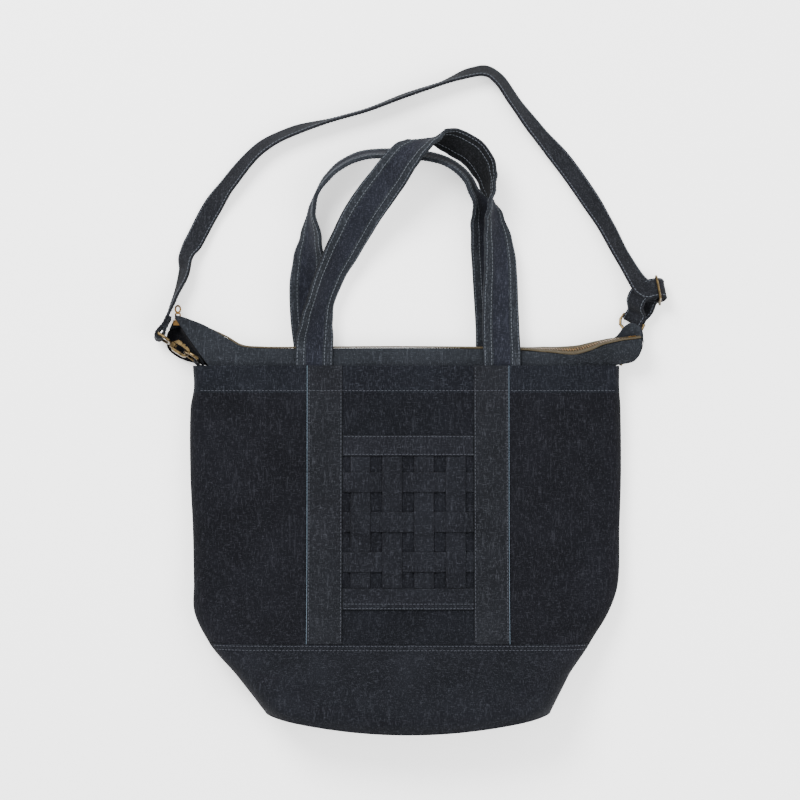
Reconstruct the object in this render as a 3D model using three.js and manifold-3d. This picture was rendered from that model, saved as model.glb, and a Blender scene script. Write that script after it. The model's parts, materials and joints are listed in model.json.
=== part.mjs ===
import * as THREE from "three";
import { mergeVertices } from "three/addons/utils/BufferGeometryUtils.js";
import Module from "manifold-3d";

// A denim shoulder bag lying on its back. X runs across it, Y from its base to its mouth, Z up.
// The rim is the line y = 0 while the pieces are made, and the whole is set on its centre at the end.

// Driving dimensions in millimetres.
const bodyWidth = 408;
const bodyLength = 341.5;
const baseDepth = 78;
const clothWall = 2;
const seamGap = 0.3;
const bandWidth = 33.3;
const bandSpacing = 156.8;
const bandThickness = 1.6;
const stripWidth = 18.7;
const stripThickness = 1.5;
const stripPitchAcross = 29.8;
const stripPitchDown = 37.3;
const railWidth = 19.8;
const railDrop = 75;
const railSpacing = 143.5;
const gussetHeight = 16;
const gussetWall = 1.8;
const gussetTuck = 18;
const zipperTapeWidth = 14;
const zipperTapeThickness = 1.2;
const chainWidth = 5.2;
const chainThickness = 2.2;
const handleWidth = 35;
const handleThickness = 3.3;
const handleSpacing = 177;
const handleRise = 221;
const handleTuck = 20;
const strapWidth = 20;
const strapThickness = 2.4;
const strapSpread = 1.1765;
const strapSpan = strapSpread * bodyWidth;
const strapRise = 284;
const wireDiameter = 3;
const ringDepth = 13.5;
const tabWall = 1.5;
const tabWidth = 13;
const tabTuck = 8;
const hookLength = 33.5;
const hookThickness = 4;
const hookWidth = 10.4;
const pullLength = 13.4;
const pullWidth = 6.4;
const pullThickness = 1.5;

const clearance = 0.3;
const wireRadius = wireDiameter / 2;
const strapInner = strapWidth + 2 * clearance;
const degree = Math.PI / 180;

const wasm = await Module();
wasm.setup();

const vector = (x, y, z) => new THREE.Vector3(x, y, z);
const mix = (a, b, share) => a + (b - a) * share;
const smooth = (share) => share * share * (3 - 2 * share);
const clamp = (value, low, high) => Math.min(high, Math.max(low, value));
const range = (count) => Array.from({ length: count }, (_, index) => index);

// A value read from a table of rows that rise in their first column, along straight lines between rows.
function read(table, column, at) {
  const key = Object.keys(table[0])[0];
  const next = table.findIndex((row) => row[key] >= at);
  if (next === 0) return table[0][column];
  if (next < 0) return table[table.length - 1][column];
  const a = table[next - 1];
  const b = table[next];
  return mix(a[column], b[column], (at - a[key]) / (b[key] - a[key]));
}

// A closed body from corner points and triangles, turned so that its faces point out.
function bodyOf(points, triangles) {
  let volume = 0;
  for (const [a, b, c] of triangles) {
    volume += points[a].dot(vector(0, 0, 0).crossVectors(points[b], points[c]));
  }
  const order = volume < 0 ? triangles.map(([a, b, c]) => [a, c, b]) : triangles;
  const geometry = new THREE.BufferGeometry();
  geometry.setAttribute("position", new THREE.Float32BufferAttribute(points.flatMap((p) => p.toArray()), 3));
  geometry.setIndex(order.flat());
  return geometry;
}

// A sheet between two grids of points of the same size, closed along its four edges.
function slab(outer, inner) {
  const rows = outer.length;
  const columns = outer[0].length;
  const points = [...outer.flat(), ...inner.flat()];
  const at = (side, row, column) => side * rows * columns + row * columns + column;
  const triangles = [];
  const quad = (a, b, c, d) => triangles.push([a, b, c], [a, c, d]);
  for (const row of range(rows - 1)) {
    for (const column of range(columns - 1)) {
      quad(at(0, row, column), at(0, row + 1, column), at(0, row + 1, column + 1), at(0, row, column + 1));
      quad(at(1, row, column), at(1, row, column + 1), at(1, row + 1, column + 1), at(1, row + 1, column));
    }
  }
  for (const row of range(rows - 1)) {
    quad(at(0, row, 0), at(1, row, 0), at(1, row + 1, 0), at(0, row + 1, 0));
    const last = columns - 1;
    quad(at(0, row, last), at(0, row + 1, last), at(1, row + 1, last), at(1, row, last));
  }
  for (const column of range(columns - 1)) {
    quad(at(0, 0, column), at(0, 0, column + 1), at(1, 0, column + 1), at(1, 0, column));
    const last = rows - 1;
    quad(at(0, last, column), at(1, last, column), at(1, last, column + 1), at(0, last, column + 1));
  }
  return bodyOf(points, triangles);
}

// The triangles between neighbouring rings of points.
function ringWalls(rings, closed = false) {
  const count = rings[0].length;
  const triangles = [];
  for (const row of range(closed ? rings.length : rings.length - 1)) {
    const next = (row + 1) % rings.length;
    for (const index of range(count)) {
      const side = (index + 1) % count;
      triangles.push([row * count + index, next * count + index, next * count + side]);
      triangles.push([row * count + index, next * count + side, row * count + side]);
    }
  }
  return triangles;
}

// A body lofted through rings of points, either capped at both ends or closed on itself.
function loft(rings, closed = false) {
  const count = rings[0].length;
  const points = rings.flat();
  const triangles = ringWalls(rings, closed);
  if (!closed) {
    const end = (rings.length - 1) * count;
    for (const index of range(count - 2)) {
      triangles.push([0, index + 1, index + 2]);
      triangles.push([end, end + index + 2, end + index + 1]);
    }
  }
  return bodyOf(points, triangles);
}

// Points, width directions and face directions along a strap, from rows of centre and width direction.
function strapFrames(rows, steps) {
  const path = new THREE.CatmullRomCurve3(rows.map((row) => row.centre), false, "centripetal");
  return range(steps + 1).map((step) => {
    const share = step / steps;
    const place = share * (rows.length - 1);
    const row = Math.min(Math.floor(place), rows.length - 2);
    const tangent = path.getTangent(share);
    const across = rows[row].across.clone().lerp(rows[row + 1].across, smooth(place - row));
    across.addScaledVector(tangent, -across.dot(tangent)).normalize();
    return { centre: path.getPoint(share), across, face: across.clone().cross(tangent).normalize() };
  });
}

// A flat strap along frames, from one share of its width to another, measured from its centre line.
function strap(frames, low, high, thickness) {
  const corner = (frame, across, face) =>
    frame.centre.clone().addScaledVector(frame.across, across).addScaledVector(frame.face, face);
  return loft(
    frames.map((frame) => [
      corner(frame, low, -thickness / 2),
      corner(frame, high, -thickness / 2),
      corner(frame, high, thickness / 2),
      corner(frame, low, thickness / 2),
    ]),
  );
}

// A width direction: aim turns it in the floor's plane, lean lifts it out of that plane.
function widthDirection(aim, lean) {
  const flat = Math.cos(lean * degree);
  return vector(Math.cos(aim * degree) * flat, Math.sin(aim * degree) * flat, Math.sin(lean * degree));
}

// A round wire bent into a closed loop through points of one plane.
function wireLoop(points, radius, normal, sides = 8) {
  const count = points.length;
  const rings = points.map((point, index) => {
    const before = points[(index + count - 1) % count];
    const after = points[(index + 1) % count];
    const tangent = after.clone().sub(before).normalize();
    const side = normal.clone().cross(tangent);
    return range(sides).map((turn) => {
      const angle = (2 * Math.PI * (turn + 0.5)) / sides;
      return point
        .clone()
        .addScaledVector(side, radius * Math.cos(angle))
        .addScaledVector(normal, radius * Math.sin(angle));
    });
  });
  return loft(rings, true);
}

// Joins and cuts of closed meshes.
function toSolid(geometry) {
  const bare = geometry.clone();
  bare.deleteAttribute("normal");
  bare.deleteAttribute("uv");
  const merged = mergeVertices(bare, 1e-4);
  return new wasm.Manifold(
    new wasm.Mesh({
      numProp: 3,
      vertProperties: new Float32Array(merged.attributes.position.array),
      triVerts: new Uint32Array(merged.index.array),
    }),
  );
}

function toGeometry(solid) {
  const mesh = solid.getMesh();
  const geometry = new THREE.BufferGeometry();
  geometry.setAttribute("position", new THREE.BufferAttribute(mesh.vertProperties, 3));
  geometry.setIndex(new THREE.BufferAttribute(mesh.triVerts, 1));
  return geometry;
}

const joined = (first, ...others) =>
  toGeometry(others.reduce((solid, other) => solid.add(toSolid(other)), toSolid(first)));
const cut = (first, ...others) =>
  toGeometry(others.reduce((solid, other) => solid.subtract(toSolid(other)), toSolid(first)));

// A cylinder along X from one place to another, centred on the X axis.
function rod(radius, from, to, sides = 12) {
  const geometry = new THREE.CylinderGeometry(radius, radius, to - from, sides);
  geometry.rotateZ(-Math.PI / 2);
  return geometry.translate((from + to) / 2, 0, 0);
}

// Materials.
const finish = (color, roughness, metalness) => new THREE.MeshStandardMaterial({ color, roughness, metalness });
const denim = finish(0x24262e, 0.95, 0);
const paleDenim = finish(0x33353d, 0.95, 0);
const tapeCloth = finish(0x4d4433, 0.9, 0);
const brass = finish(0x8a7448, 0.4, 0.9);

const bag = new THREE.Group();

function add(name, geometry, material, parent = bag) {
  const mesh = new THREE.Mesh(geometry, material);
  mesh.name = name;
  parent.add(mesh);
  return mesh;
}

// The body: sections from the rim to the bottom. down is a share of the body's length, left and
// right of its width, depth of the base's depth, corner of the half width and crown of the depth.
const sections = [
  { down: 0, left: 0.498, right: 0.489, depth: 0.333, corner: 0.03, crown: 0.04 },
  { down: 0.06, left: 0.496, right: 0.489, depth: 0.335, corner: 0.035, crown: 0.05 },
  { down: 0.12, left: 0.504, right: 0.492, depth: 0.345, corner: 0.05, crown: 0.07 },
  { down: 0.3, left: 0.504, right: 0.493, depth: 0.375, corner: 0.08, crown: 0.12 },
  { down: 0.45, left: 0.498, right: 0.489, depth: 0.41, corner: 0.1, crown: 0.14 },
  { down: 0.6, left: 0.495, right: 0.485, depth: 0.48, corner: 0.13, crown: 0.15 },
  { down: 0.68, left: 0.493, right: 0.462, depth: 0.55, corner: 0.15, crown: 0.13 },
  { down: 0.76, left: 0.459, right: 0.42, depth: 0.66, corner: 0.18, crown: 0.1 },
  { down: 0.85, left: 0.404, right: 0.376, depth: 0.86, corner: 0.2, crown: 0.08 },
  { down: 0.92, left: 0.369, right: 0.353, depth: 0.97, corner: 0.2, crown: 0.07 },
  { down: 0.97, left: 0.343, right: 0.336, depth: 1, corner: 0.2, crown: 0.06 },
  { down: 1, left: 0.3265, right: 0.3256, depth: 0.93, corner: 0.22, crown: 0.06 },
];

// Soft dents of the front: across is a share of the body's width from its middle, down of its
// length, wide and long of the same, depth of the base's depth, and turn is in degrees.
const dents = [
  { down: 0.25, across: 0.4, wide: 0.035, long: 0.1, depth: 0.05, turn: -35 },
  { down: 0.33, across: 0.43, wide: 0.03, long: 0.09, depth: 0.04, turn: -30 },
  { down: 0.58, across: 0.36, wide: 0.06, long: 0.09, depth: 0.04, turn: 20 },
  { down: 0.14, across: -0.46, wide: 0.03, long: 0.07, depth: 0.03, turn: 15 },
  { down: 0.6, across: -0.42, wide: 0.04, long: 0.1, depth: 0.04, turn: 35 },
  { down: 0.91, across: -0.24, wide: 0.03, long: 0.05, depth: 0.05, turn: 30 },
  { down: 0.9, across: 0.26, wide: 0.03, long: 0.05, depth: 0.04, turn: -30 },
];

const baseSeam = 0.76;
const bottomBow = 0.05;

function dentDepth(x, down) {
  let depth = 0;
  for (const dent of dents) {
    const a = x - dent.across * bodyWidth;
    const b = (down - dent.down) * bodyLength;
    const c = Math.cos(dent.turn * degree);
    const s = Math.sin(dent.turn * degree);
    const p = (a * c + b * s) / (dent.wide * bodyWidth);
    const q = (b * c - a * s) / (dent.long * bodyLength);
    depth += dent.depth * baseDepth * Math.exp(-p * p - q * q);
  }
  return depth;
}

// A point of the body's skin: side 1 is the front and -1 the back, turn runs from -1 at the left
// side seam to 1 at the right one, and inset is how far the skin lies inside the outer surface.
function skin(down, turn, side, inset) {
  const left = read(sections, "left", down) * bodyWidth - inset;
  const right = read(sections, "right", down) * bodyWidth - inset;
  const depth = read(sections, "depth", down) * baseDepth;
  const corner = read(sections, "corner", down);
  const crown = read(sections, "crown", down) * (depth - inset);
  const cornerTurn = 0.3;
  const arc = clamp((Math.abs(turn) - 1 + cornerTurn) / cornerTurn, 0, 1) * 90 * degree;
  const flat = Math.min(Math.abs(turn) / (1 - cornerTurn), 1) * (1 - corner);
  const share = Math.sign(turn) * (arc > 0 ? 1 - corner + corner * Math.sin(arc) : flat);
  const x = share < 0 ? share * left : share * right;
  const ramp = smooth(clamp((down - baseSeam) / (1 - baseSeam), 0, 1));
  const y = -bodyLength * (down - bottomBow * ramp * share * share);
  const middle = depth / 2 + (side * seamGap) / 2;
  const top = depth - inset - crown;
  const shape = Math.cos(arc);
  const z =
    side > 0
      ? middle + (top - middle) * shape + crown * (1 - share * share) - dentDepth(x, down) * shape
      : middle - (middle - inset) * shape;
  return vector(x, y, z);
}

const turns = [-1, -0.93, -0.85, -0.77, -0.7, -0.58, -0.46, -0.34, -0.23, -0.12, 0];
const allTurns = [...turns, ...turns.slice(0, -1).reverse().map((turn) => -turn)];
const panelRows = [0, 0.06, 0.12, 0.18, 0.24, 0.3, 0.37, 0.45, 0.53, 0.6, 0.68];
const baseRows = [0.8, 0.85, 0.89, 0.92, 0.95, 0.97, 0.985, 1];
const seamHalf = seamGap / 2 / bodyLength;

function panel(side) {
  const rows = [...panelRows, baseSeam - seamHalf];
  const grid = (inset) => rows.map((down) => allTurns.map((turn) => skin(down, turn, side, inset)));
  return slab(grid(0), grid(clothWall));
}

// A closed ring of the body's skin.
function skinRing(down, inset) {
  const front = allTurns.map((turn) => skin(down, turn, 1, inset));
  const back = allTurns.slice(1, -1).reverse().map((turn) => skin(down, turn, -1, inset));
  return [...front, ...back];
}

// The base piece: a pouch with a bowed bottom, open towards the rim.
function basePouch() {
  const rows = [baseSeam + seamHalf, ...baseRows];
  const wallShare = clothWall / bodyLength;
  const inner = rows.map((down) => skinRing(Math.min(down, 1 - wallShare), clothWall));
  inner.pop();
  inner.push(skinRing(1 - wallShare, clothWall));
  const outer = rows.map((down) => skinRing(down, 0));
  const rings = [...inner.reverse(), ...outer];
  const count = rings[0].length;
  const triangles = ringWalls(rings);
  const last = allTurns.length - 1;
  const opposite = (index) => (index === 0 || index === last ? index : 2 * last - index);
  const bottom = (start, flip) => {
    const face = (a, b, c) => triangles.push(flip ? [a, c, b] : [a, b, c]);
    for (const index of range(last)) {
      const a = start + index;
      const b = start + index + 1;
      const c = start + opposite(index + 1);
      const d = start + opposite(index);
      if (index < last - 1) face(a, b, c);
      else face(a, b, d);
      if (index > 0 && index < last - 1) face(a, c, d);
    }
  };
  bottom(0, false);
  bottom((rings.length - 1) * count, true);
  return bodyOf(rings.flat(), triangles);
}

add("front_panel", panel(1), denim);
add("back_panel", panel(-1), denim);
add("base_panel", basePouch(), denim);

// Height of the front's outer surface over a place above the base seam.
function frontHeight(x, y) {
  const down = -y / bodyLength;
  const half = read(sections, x < 0 ? "left" : "right", down) * bodyWidth;
  const share = x / half;
  const depth = read(sections, "depth", down) * baseDepth;
  const crown = read(sections, "crown", down) * depth;
  return depth - crown + crown * (1 - share * share) - dentDepth(x, down);
}

// A flat piece on the front: its columns and rows are places, and lift is its height over the cloth.
function frontPatch(xs, ys, lift, thickness) {
  const grid = (raise) =>
    ys.map((y) => xs.map((x) => vector(x, y, frontHeight(x, y) + lift(x, y) + raise)));
  return slab(grid(thickness), grid(0));
}

const lowLift = () => clearance;
const seamY = -bodyLength * baseSeam;
for (const [side, name] of [[-1, "band_left"], [1, "band_right"]]) {
  const middle = (side * bandSpacing) / 2;
  const ys = [...panelRows.map((down) => -bodyLength * down), seamY];
  add(name, frontPatch([middle - bandWidth / 2, middle, middle + bandWidth / 2], ys, lowLift, bandThickness), paleDenim);
}

// The lattice between the bands: two rails, and strips woven over and under each other.
const latticeHalf = (bandSpacing - bandWidth) / 2 - clearance;
const latticeMiddle = -railDrop - railSpacing / 2;
const overLift = clearance + stripThickness + clearance;
const columns = range(4).map((index) => (index - 1.5) * stripPitchAcross);
const courses = range(3).map((index) => latticeMiddle + (1 - index) * stripPitchDown);
const rungs = range(9).map((index) => mix(-latticeHalf, latticeHalf, index / 8));

for (const [name, y] of [["lattice_rail_top", -railDrop], ["lattice_rail_bottom", -railDrop - railSpacing]]) {
  const ys = [y + railWidth / 2, y - railWidth / 2];
  add(name, frontPatch(rungs, ys, lowLift, bandThickness + clearance), paleDenim);
}

const isOver = (column, course) => (column + course) % 2 === 1;
const crossing = (centre, half) => [centre - half, centre + half];

columns.forEach((x, column) => {
  const end = railSpacing / 2 - railWidth / 2 - clearance;
  const half = stripWidth / 2 + 2 * clearance;
  const ys = [latticeMiddle + end, ...courses.flatMap((y) => crossing(y, half).reverse()), latticeMiddle - end];
  const lift = (_, y) => {
    const course = courses.findIndex((centre) => Math.abs(y - centre) < half + clearance);
    return course >= 0 && isOver(column, course) ? overLift : clearance;
  };
  const xs = [x - stripWidth / 2, x + stripWidth / 2];
  add("lattice_strip_v" + (column + 1), frontPatch(xs, ys, lift, stripThickness), paleDenim);
});

courses.forEach((y, course) => {
  const half = stripWidth / 2 + 2 * clearance;
  const xs = [-latticeHalf, ...columns.flatMap((x) => crossing(x, half)), latticeHalf];
  const lift = (x) => {
    const column = columns.findIndex((centre) => Math.abs(x - centre) < half + clearance);
    return column >= 0 && !isOver(column, course) ? overLift : clearance;
  };
  const ys = [y + stripWidth / 2, y - stripWidth / 2];
  add("lattice_strip_h" + (course + 1), frontPatch(xs, ys, lift, stripThickness), paleDenim);
});

// The zip runs along the top of the gusset. across is a share of the body's width, rise of the
// gusset's height above the rim, height of the rim's depth, and lean tips its face to the front.
const rimDepth = baseDepth * sections[0].depth;
const zipRows = [
  { across: -0.522, rise: 2.77, height: 0.5, lean: 90 },
  { across: -0.47, rise: 2.3, height: 0.5, lean: 90 },
  { across: -0.42, rise: 1.72, height: 0.5, lean: 88 },
  { across: -0.385, rise: 1.22, height: 0.5, lean: 88 },
  { across: -0.34, rise: 1.1, height: 0.5, lean: 88 },
  { across: -0.2, rise: 1.1, height: 0.5, lean: 88 },
  { across: -0.02, rise: 1.12, height: 0.5, lean: 88 },
  { across: 0.17, rise: 1.08, height: 0.5, lean: 86 },
  { across: 0.27, rise: 1.02, height: 0.5, lean: 82 },
  { across: 0.32, rise: 0.97, height: 0.56, lean: 72 },
  { across: 0.385, rise: 0.93, height: 0.68, lean: 57 },
  { across: 0.415, rise: 1.1, height: 0.82, lean: 60 },
  { across: 0.455, rise: 1.42, height: 0.95, lean: 74 },
  { across: 0.5, rise: 1.6, height: 1.02, lean: 82 },
  { across: 0.535, rise: 1.7, height: 1.02, lean: 84 },
];

const zipRow = (row) => ({
  centre: vector(row.across * bodyWidth, row.rise * gussetHeight, row.height * rimDepth),
  across: widthDirection(-90, row.lean),
});
const zipSteps = 10;
const zipFine = strapFrames(zipRows.map(zipRow), (zipRows.length - 1) * zipSteps);
const zipAt = (x) =>
  zipFine.reduce((best, frame) => (Math.abs(frame.centre.x - x) < Math.abs(best.centre.x - x) ? frame : best));
const zipShares = [-0.515, -0.5, -0.475, -0.45, -0.42, -0.39, -0.35, -0.27, -0.17, -0.06, 0.06, 0.17, 0.26, 0.34,
  0.385, 0.415, 0.44, 0.465, 0.48, 0.495, 0.51, 0.525];
const zipFrames = [zipFine[0], ...zipShares.map((share) => zipAt(share * bodyWidth)), zipFine[zipFine.length - 1]];
const zipHalf = zipperTapeWidth / 2;
const chainEdge = chainWidth / 2 + clearance;
add("zipper_tape_front", strap(zipFrames, chainEdge, zipHalf, zipperTapeThickness), tapeCloth);
add("zipper_tape_back", strap(zipFrames, -zipHalf, -chainEdge, zipperTapeThickness), tapeCloth);
const chainFrames = zipFrames.slice(0, -3);
const stopFrames = zipFine.slice(-9, -3);
add("zipper_chain", strap(chainFrames, -chainWidth / 2, chainWidth / 2, chainThickness), brass);
add("zipper_stop", strap(stopFrames, -chainWidth / 2, chainWidth / 2, chainThickness * 1.5), brass);

// The gusset's strips run from the zip down into the mouth. Each column starts at the zip and ends
// at the tuck. Beyond the mouth's ends the columns draw in: down is a share of the way to the rim,
// in of the way from the zip to the mouth's end, low of the way from the zip's height to the
// tuck's, and dip a share of the gusset's height taken off there.
const mouthEnds = {
  front: { left: -0.454, right: 0.466 },
  back: { left: -0.454, right: 0.42 },
};
const columnShapes = {
  front_left: [
    { down: 0, in: 0, low: 0, dip: 0 },
    { down: 0.37, in: 0.34, low: 0.3, dip: 0 },
    { down: 0.69, in: 0.64, low: 0.6, dip: 0 },
    { down: 0.915, in: 0.85, low: 0.8, dip: 0 },
    { down: 1, in: 0.95, low: 0.9, dip: 0 },
    { down: 1.15, in: 1, low: 1, dip: 0 },
    { down: 2, in: 1, low: 1, dip: 0 },
  ],
  front_right: [
    { down: 0, in: 0, low: 0, dip: 0 },
    { down: 0.37, in: -0.04, low: 0.15, dip: 0 },
    { down: 0.69, in: 0.08, low: 0.35, dip: 0 },
    { down: 0.93, in: 0.28, low: 0.6, dip: 0 },
    { down: 1, in: 0.84, low: 0.9, dip: 0 },
    { down: 1.15, in: 1, low: 1, dip: 0 },
    { down: 2, in: 1, low: 1, dip: 0 },
  ],
  back_left: [
    { down: 0, in: 0, low: 0, dip: 0 },
    { down: 0.37, in: -0.19, low: 0.37, dip: 0.35 },
    { down: 0.69, in: -0.2, low: 0.69, dip: 0.35 },
    { down: 0.915, in: 0.26, low: 0.9, dip: 0.35 },
    { down: 1, in: 0.9, low: 1, dip: 0.21 },
    { down: 1.15, in: 1, low: 1, dip: 0 },
    { down: 2, in: 1, low: 1, dip: 0 },
  ],
  back_right: [
    { down: 0, in: 0, low: 0, dip: 0 },
    { down: 0.37, in: -0.02, low: 0, dip: 0 },
    { down: 0.69, in: 0.1, low: 0, dip: 0 },
    { down: 0.93, in: 0.32, low: 0.06, dip: 0 },
    { down: 1, in: 0.86, low: 0.45, dip: 0 },
    { down: 1.15, in: 1, low: 0.8, dip: 0 },
    { down: 2, in: 1, low: 1, dip: 0 },
  ],
};
const gussetTips = { front: { left: -0.546, right: 0.537 }, back: { left: -0.544, right: 0.543 } };
const rimStart = 0.7;
const gussetWidening = gussetHeight * 0.7;
const footSpread = 0.04;
const lobe = [
  { across: 0.46, rise: 0 },
  { across: 0.478, rise: 0.05 },
  { across: 0.49, rise: 0.55 },
  { across: 0.5, rise: 0.85 },
  { across: 0.515, rise: 0.98 },
  { across: 0.53, rise: 0.85 },
  { across: 0.546, rise: 0.45 },
];

// Where the front strip's left end laps over the tape's edge.
const lap = [
  { across: -0.546, rise: 0.22 },
  { across: -0.475, rise: 0.2 },
  { across: -0.44, rise: 0.1 },
  { across: -0.415, rise: 0 },
];

const stackUp = clothWall + clearance + handleThickness + clearance + gussetWall / 2;
const tuckHeight = { front: rimDepth - stackUp, back: stackUp };

// The strip's edge behind the zip's tape, with the back strip's lobe at the right end and the front
// strip's lap at the left end. Past the zip's left end the edge goes on at leftTipSlope.
const leftTipSlope = -0.25;
function gussetTop(face, frame, x) {
  const top = frame.centre.clone();
  const overshoot = x - top.x;
  const side = face === "front" ? 1 : -1;
  const seat = zipperTapeThickness / 2 + clearance + (gussetWall / 2) * Math.abs(frame.face.z);
  top.addScaledVector(frame.across, side * (zipHalf - gussetWall / 2));
  top.addScaledVector(frame.face, -seat);
  if (face === "back" && x > lobe[0].across * bodyWidth) {
    top.z -= gussetWall + clearance;
    top.y += read(lobe, "rise", x / bodyWidth) * gussetHeight;
  }
  if (face === "front" && x < lap[lap.length - 1].across * bodyWidth) {
    top.z += gussetWall + clearance;
    top.y += read(lap, "rise", x / bodyWidth) * gussetHeight;
  }
  const slope = x < 0 ? leftTipSlope : 0;
  return top.add(vector(overshoot, overshoot * slope, 0));
}

function gussetColumn(face, frame, x) {
  const side = x < 0 ? "left" : "right";
  const end = mouthEnds[face][side] * bodyWidth;
  const past = Math.max(0, Math.abs(x) - Math.abs(end));
  const weight = Math.min(1, past / gussetWidening);
  const top = gussetTop(face, frame, x);
  const foot = past > 0 ? mix(end, x, footSpread) : x;
  return columnShapes[face + "_" + side].map((shape) => {
    const y = shape.down <= 1 ? mix(top.y, rimStart, shape.down) : mix(rimStart, -gussetTuck, shape.down - 1);
    const low = mix(Math.min(shape.down, 1), shape.low, weight);
    const z = mix(top.z, tuckHeight[face], low) - shape.dip * gussetHeight * weight;
    return vector(mix(top.x, foot, shape.in), y, z);
  });
}
const gussetTip = (face, side) =>
  gussetColumn(face, zipFrames[side === "left" ? 0 : zipFrames.length - 1], gussetTips[face][side] * bodyWidth);

function gussetSheet(face) {
  const middle = zipFrames.slice(1, -1).map((frame) => gussetColumn(face, frame, frame.centre.x));
  const columns = [gussetTip(face, "left"), ...middle, gussetTip(face, "right")];
  const raised = (lift) => columns.map((column) => column.map((point) => point.clone().add(vector(0, 0, lift))));
  return slab(raised(gussetWall / 2), raised(-gussetWall / 2));
}
add("gusset_front", gussetSheet("front"), paleDenim);
add("gusset_back", gussetSheet("back"), paleDenim);

// The folded ends between the two strips: from under the front strip's edge down to the back one's.
// foldStart is how far down the strips' edges they begin.
const foldStart = 0.72;
const endFolds = {
  left: { knee: 0.1, lean: -1, drops: [0.94, 0.94, 0.94, 0.87, 0.7] },
  right: { knee: 0.4, lean: 0, drops: [0.6, 0.6, 0.6, 0.6, 0.6] },
};
function gussetEnd(side) {
  const edge = (face) => {
    const column = gussetTip(face, side).slice(0, 5);
    return [column[0].clone().lerp(column[1], foldStart), ...column.slice(1)];
  };
  const { knee, lean, drops } = endFolds[side];
  const drop = gussetWall + 2 * clearance;
  const back = edge("back");
  const rows = edge("front").map((top, index) => {
    const start = top.clone().add(vector(0, 0, -drop));
    const end = back[index].clone().add(vector(0, 0, drop));
    const at = (share, low) => {
      const point = start.clone().lerp(end, share);
      point.z = mix(start.z, end.z, low);
      return point;
    };
    return [start, at(knee, drops[index]), at((1 + knee) / 2, (1 + drops[index]) / 2), end];
  });
  const half = gussetWall / 3;
  const moved = (x, z) => rows.map((row) => row.map((point) => point.clone().add(vector(x, 0, z))));
  return slab(moved(lean * half, half), moved(-lean * half, -half));
}
add("gusset_end_left", gussetEnd("left"), denim);
add("gusset_end_right", gussetEnd("right"), denim);

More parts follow.
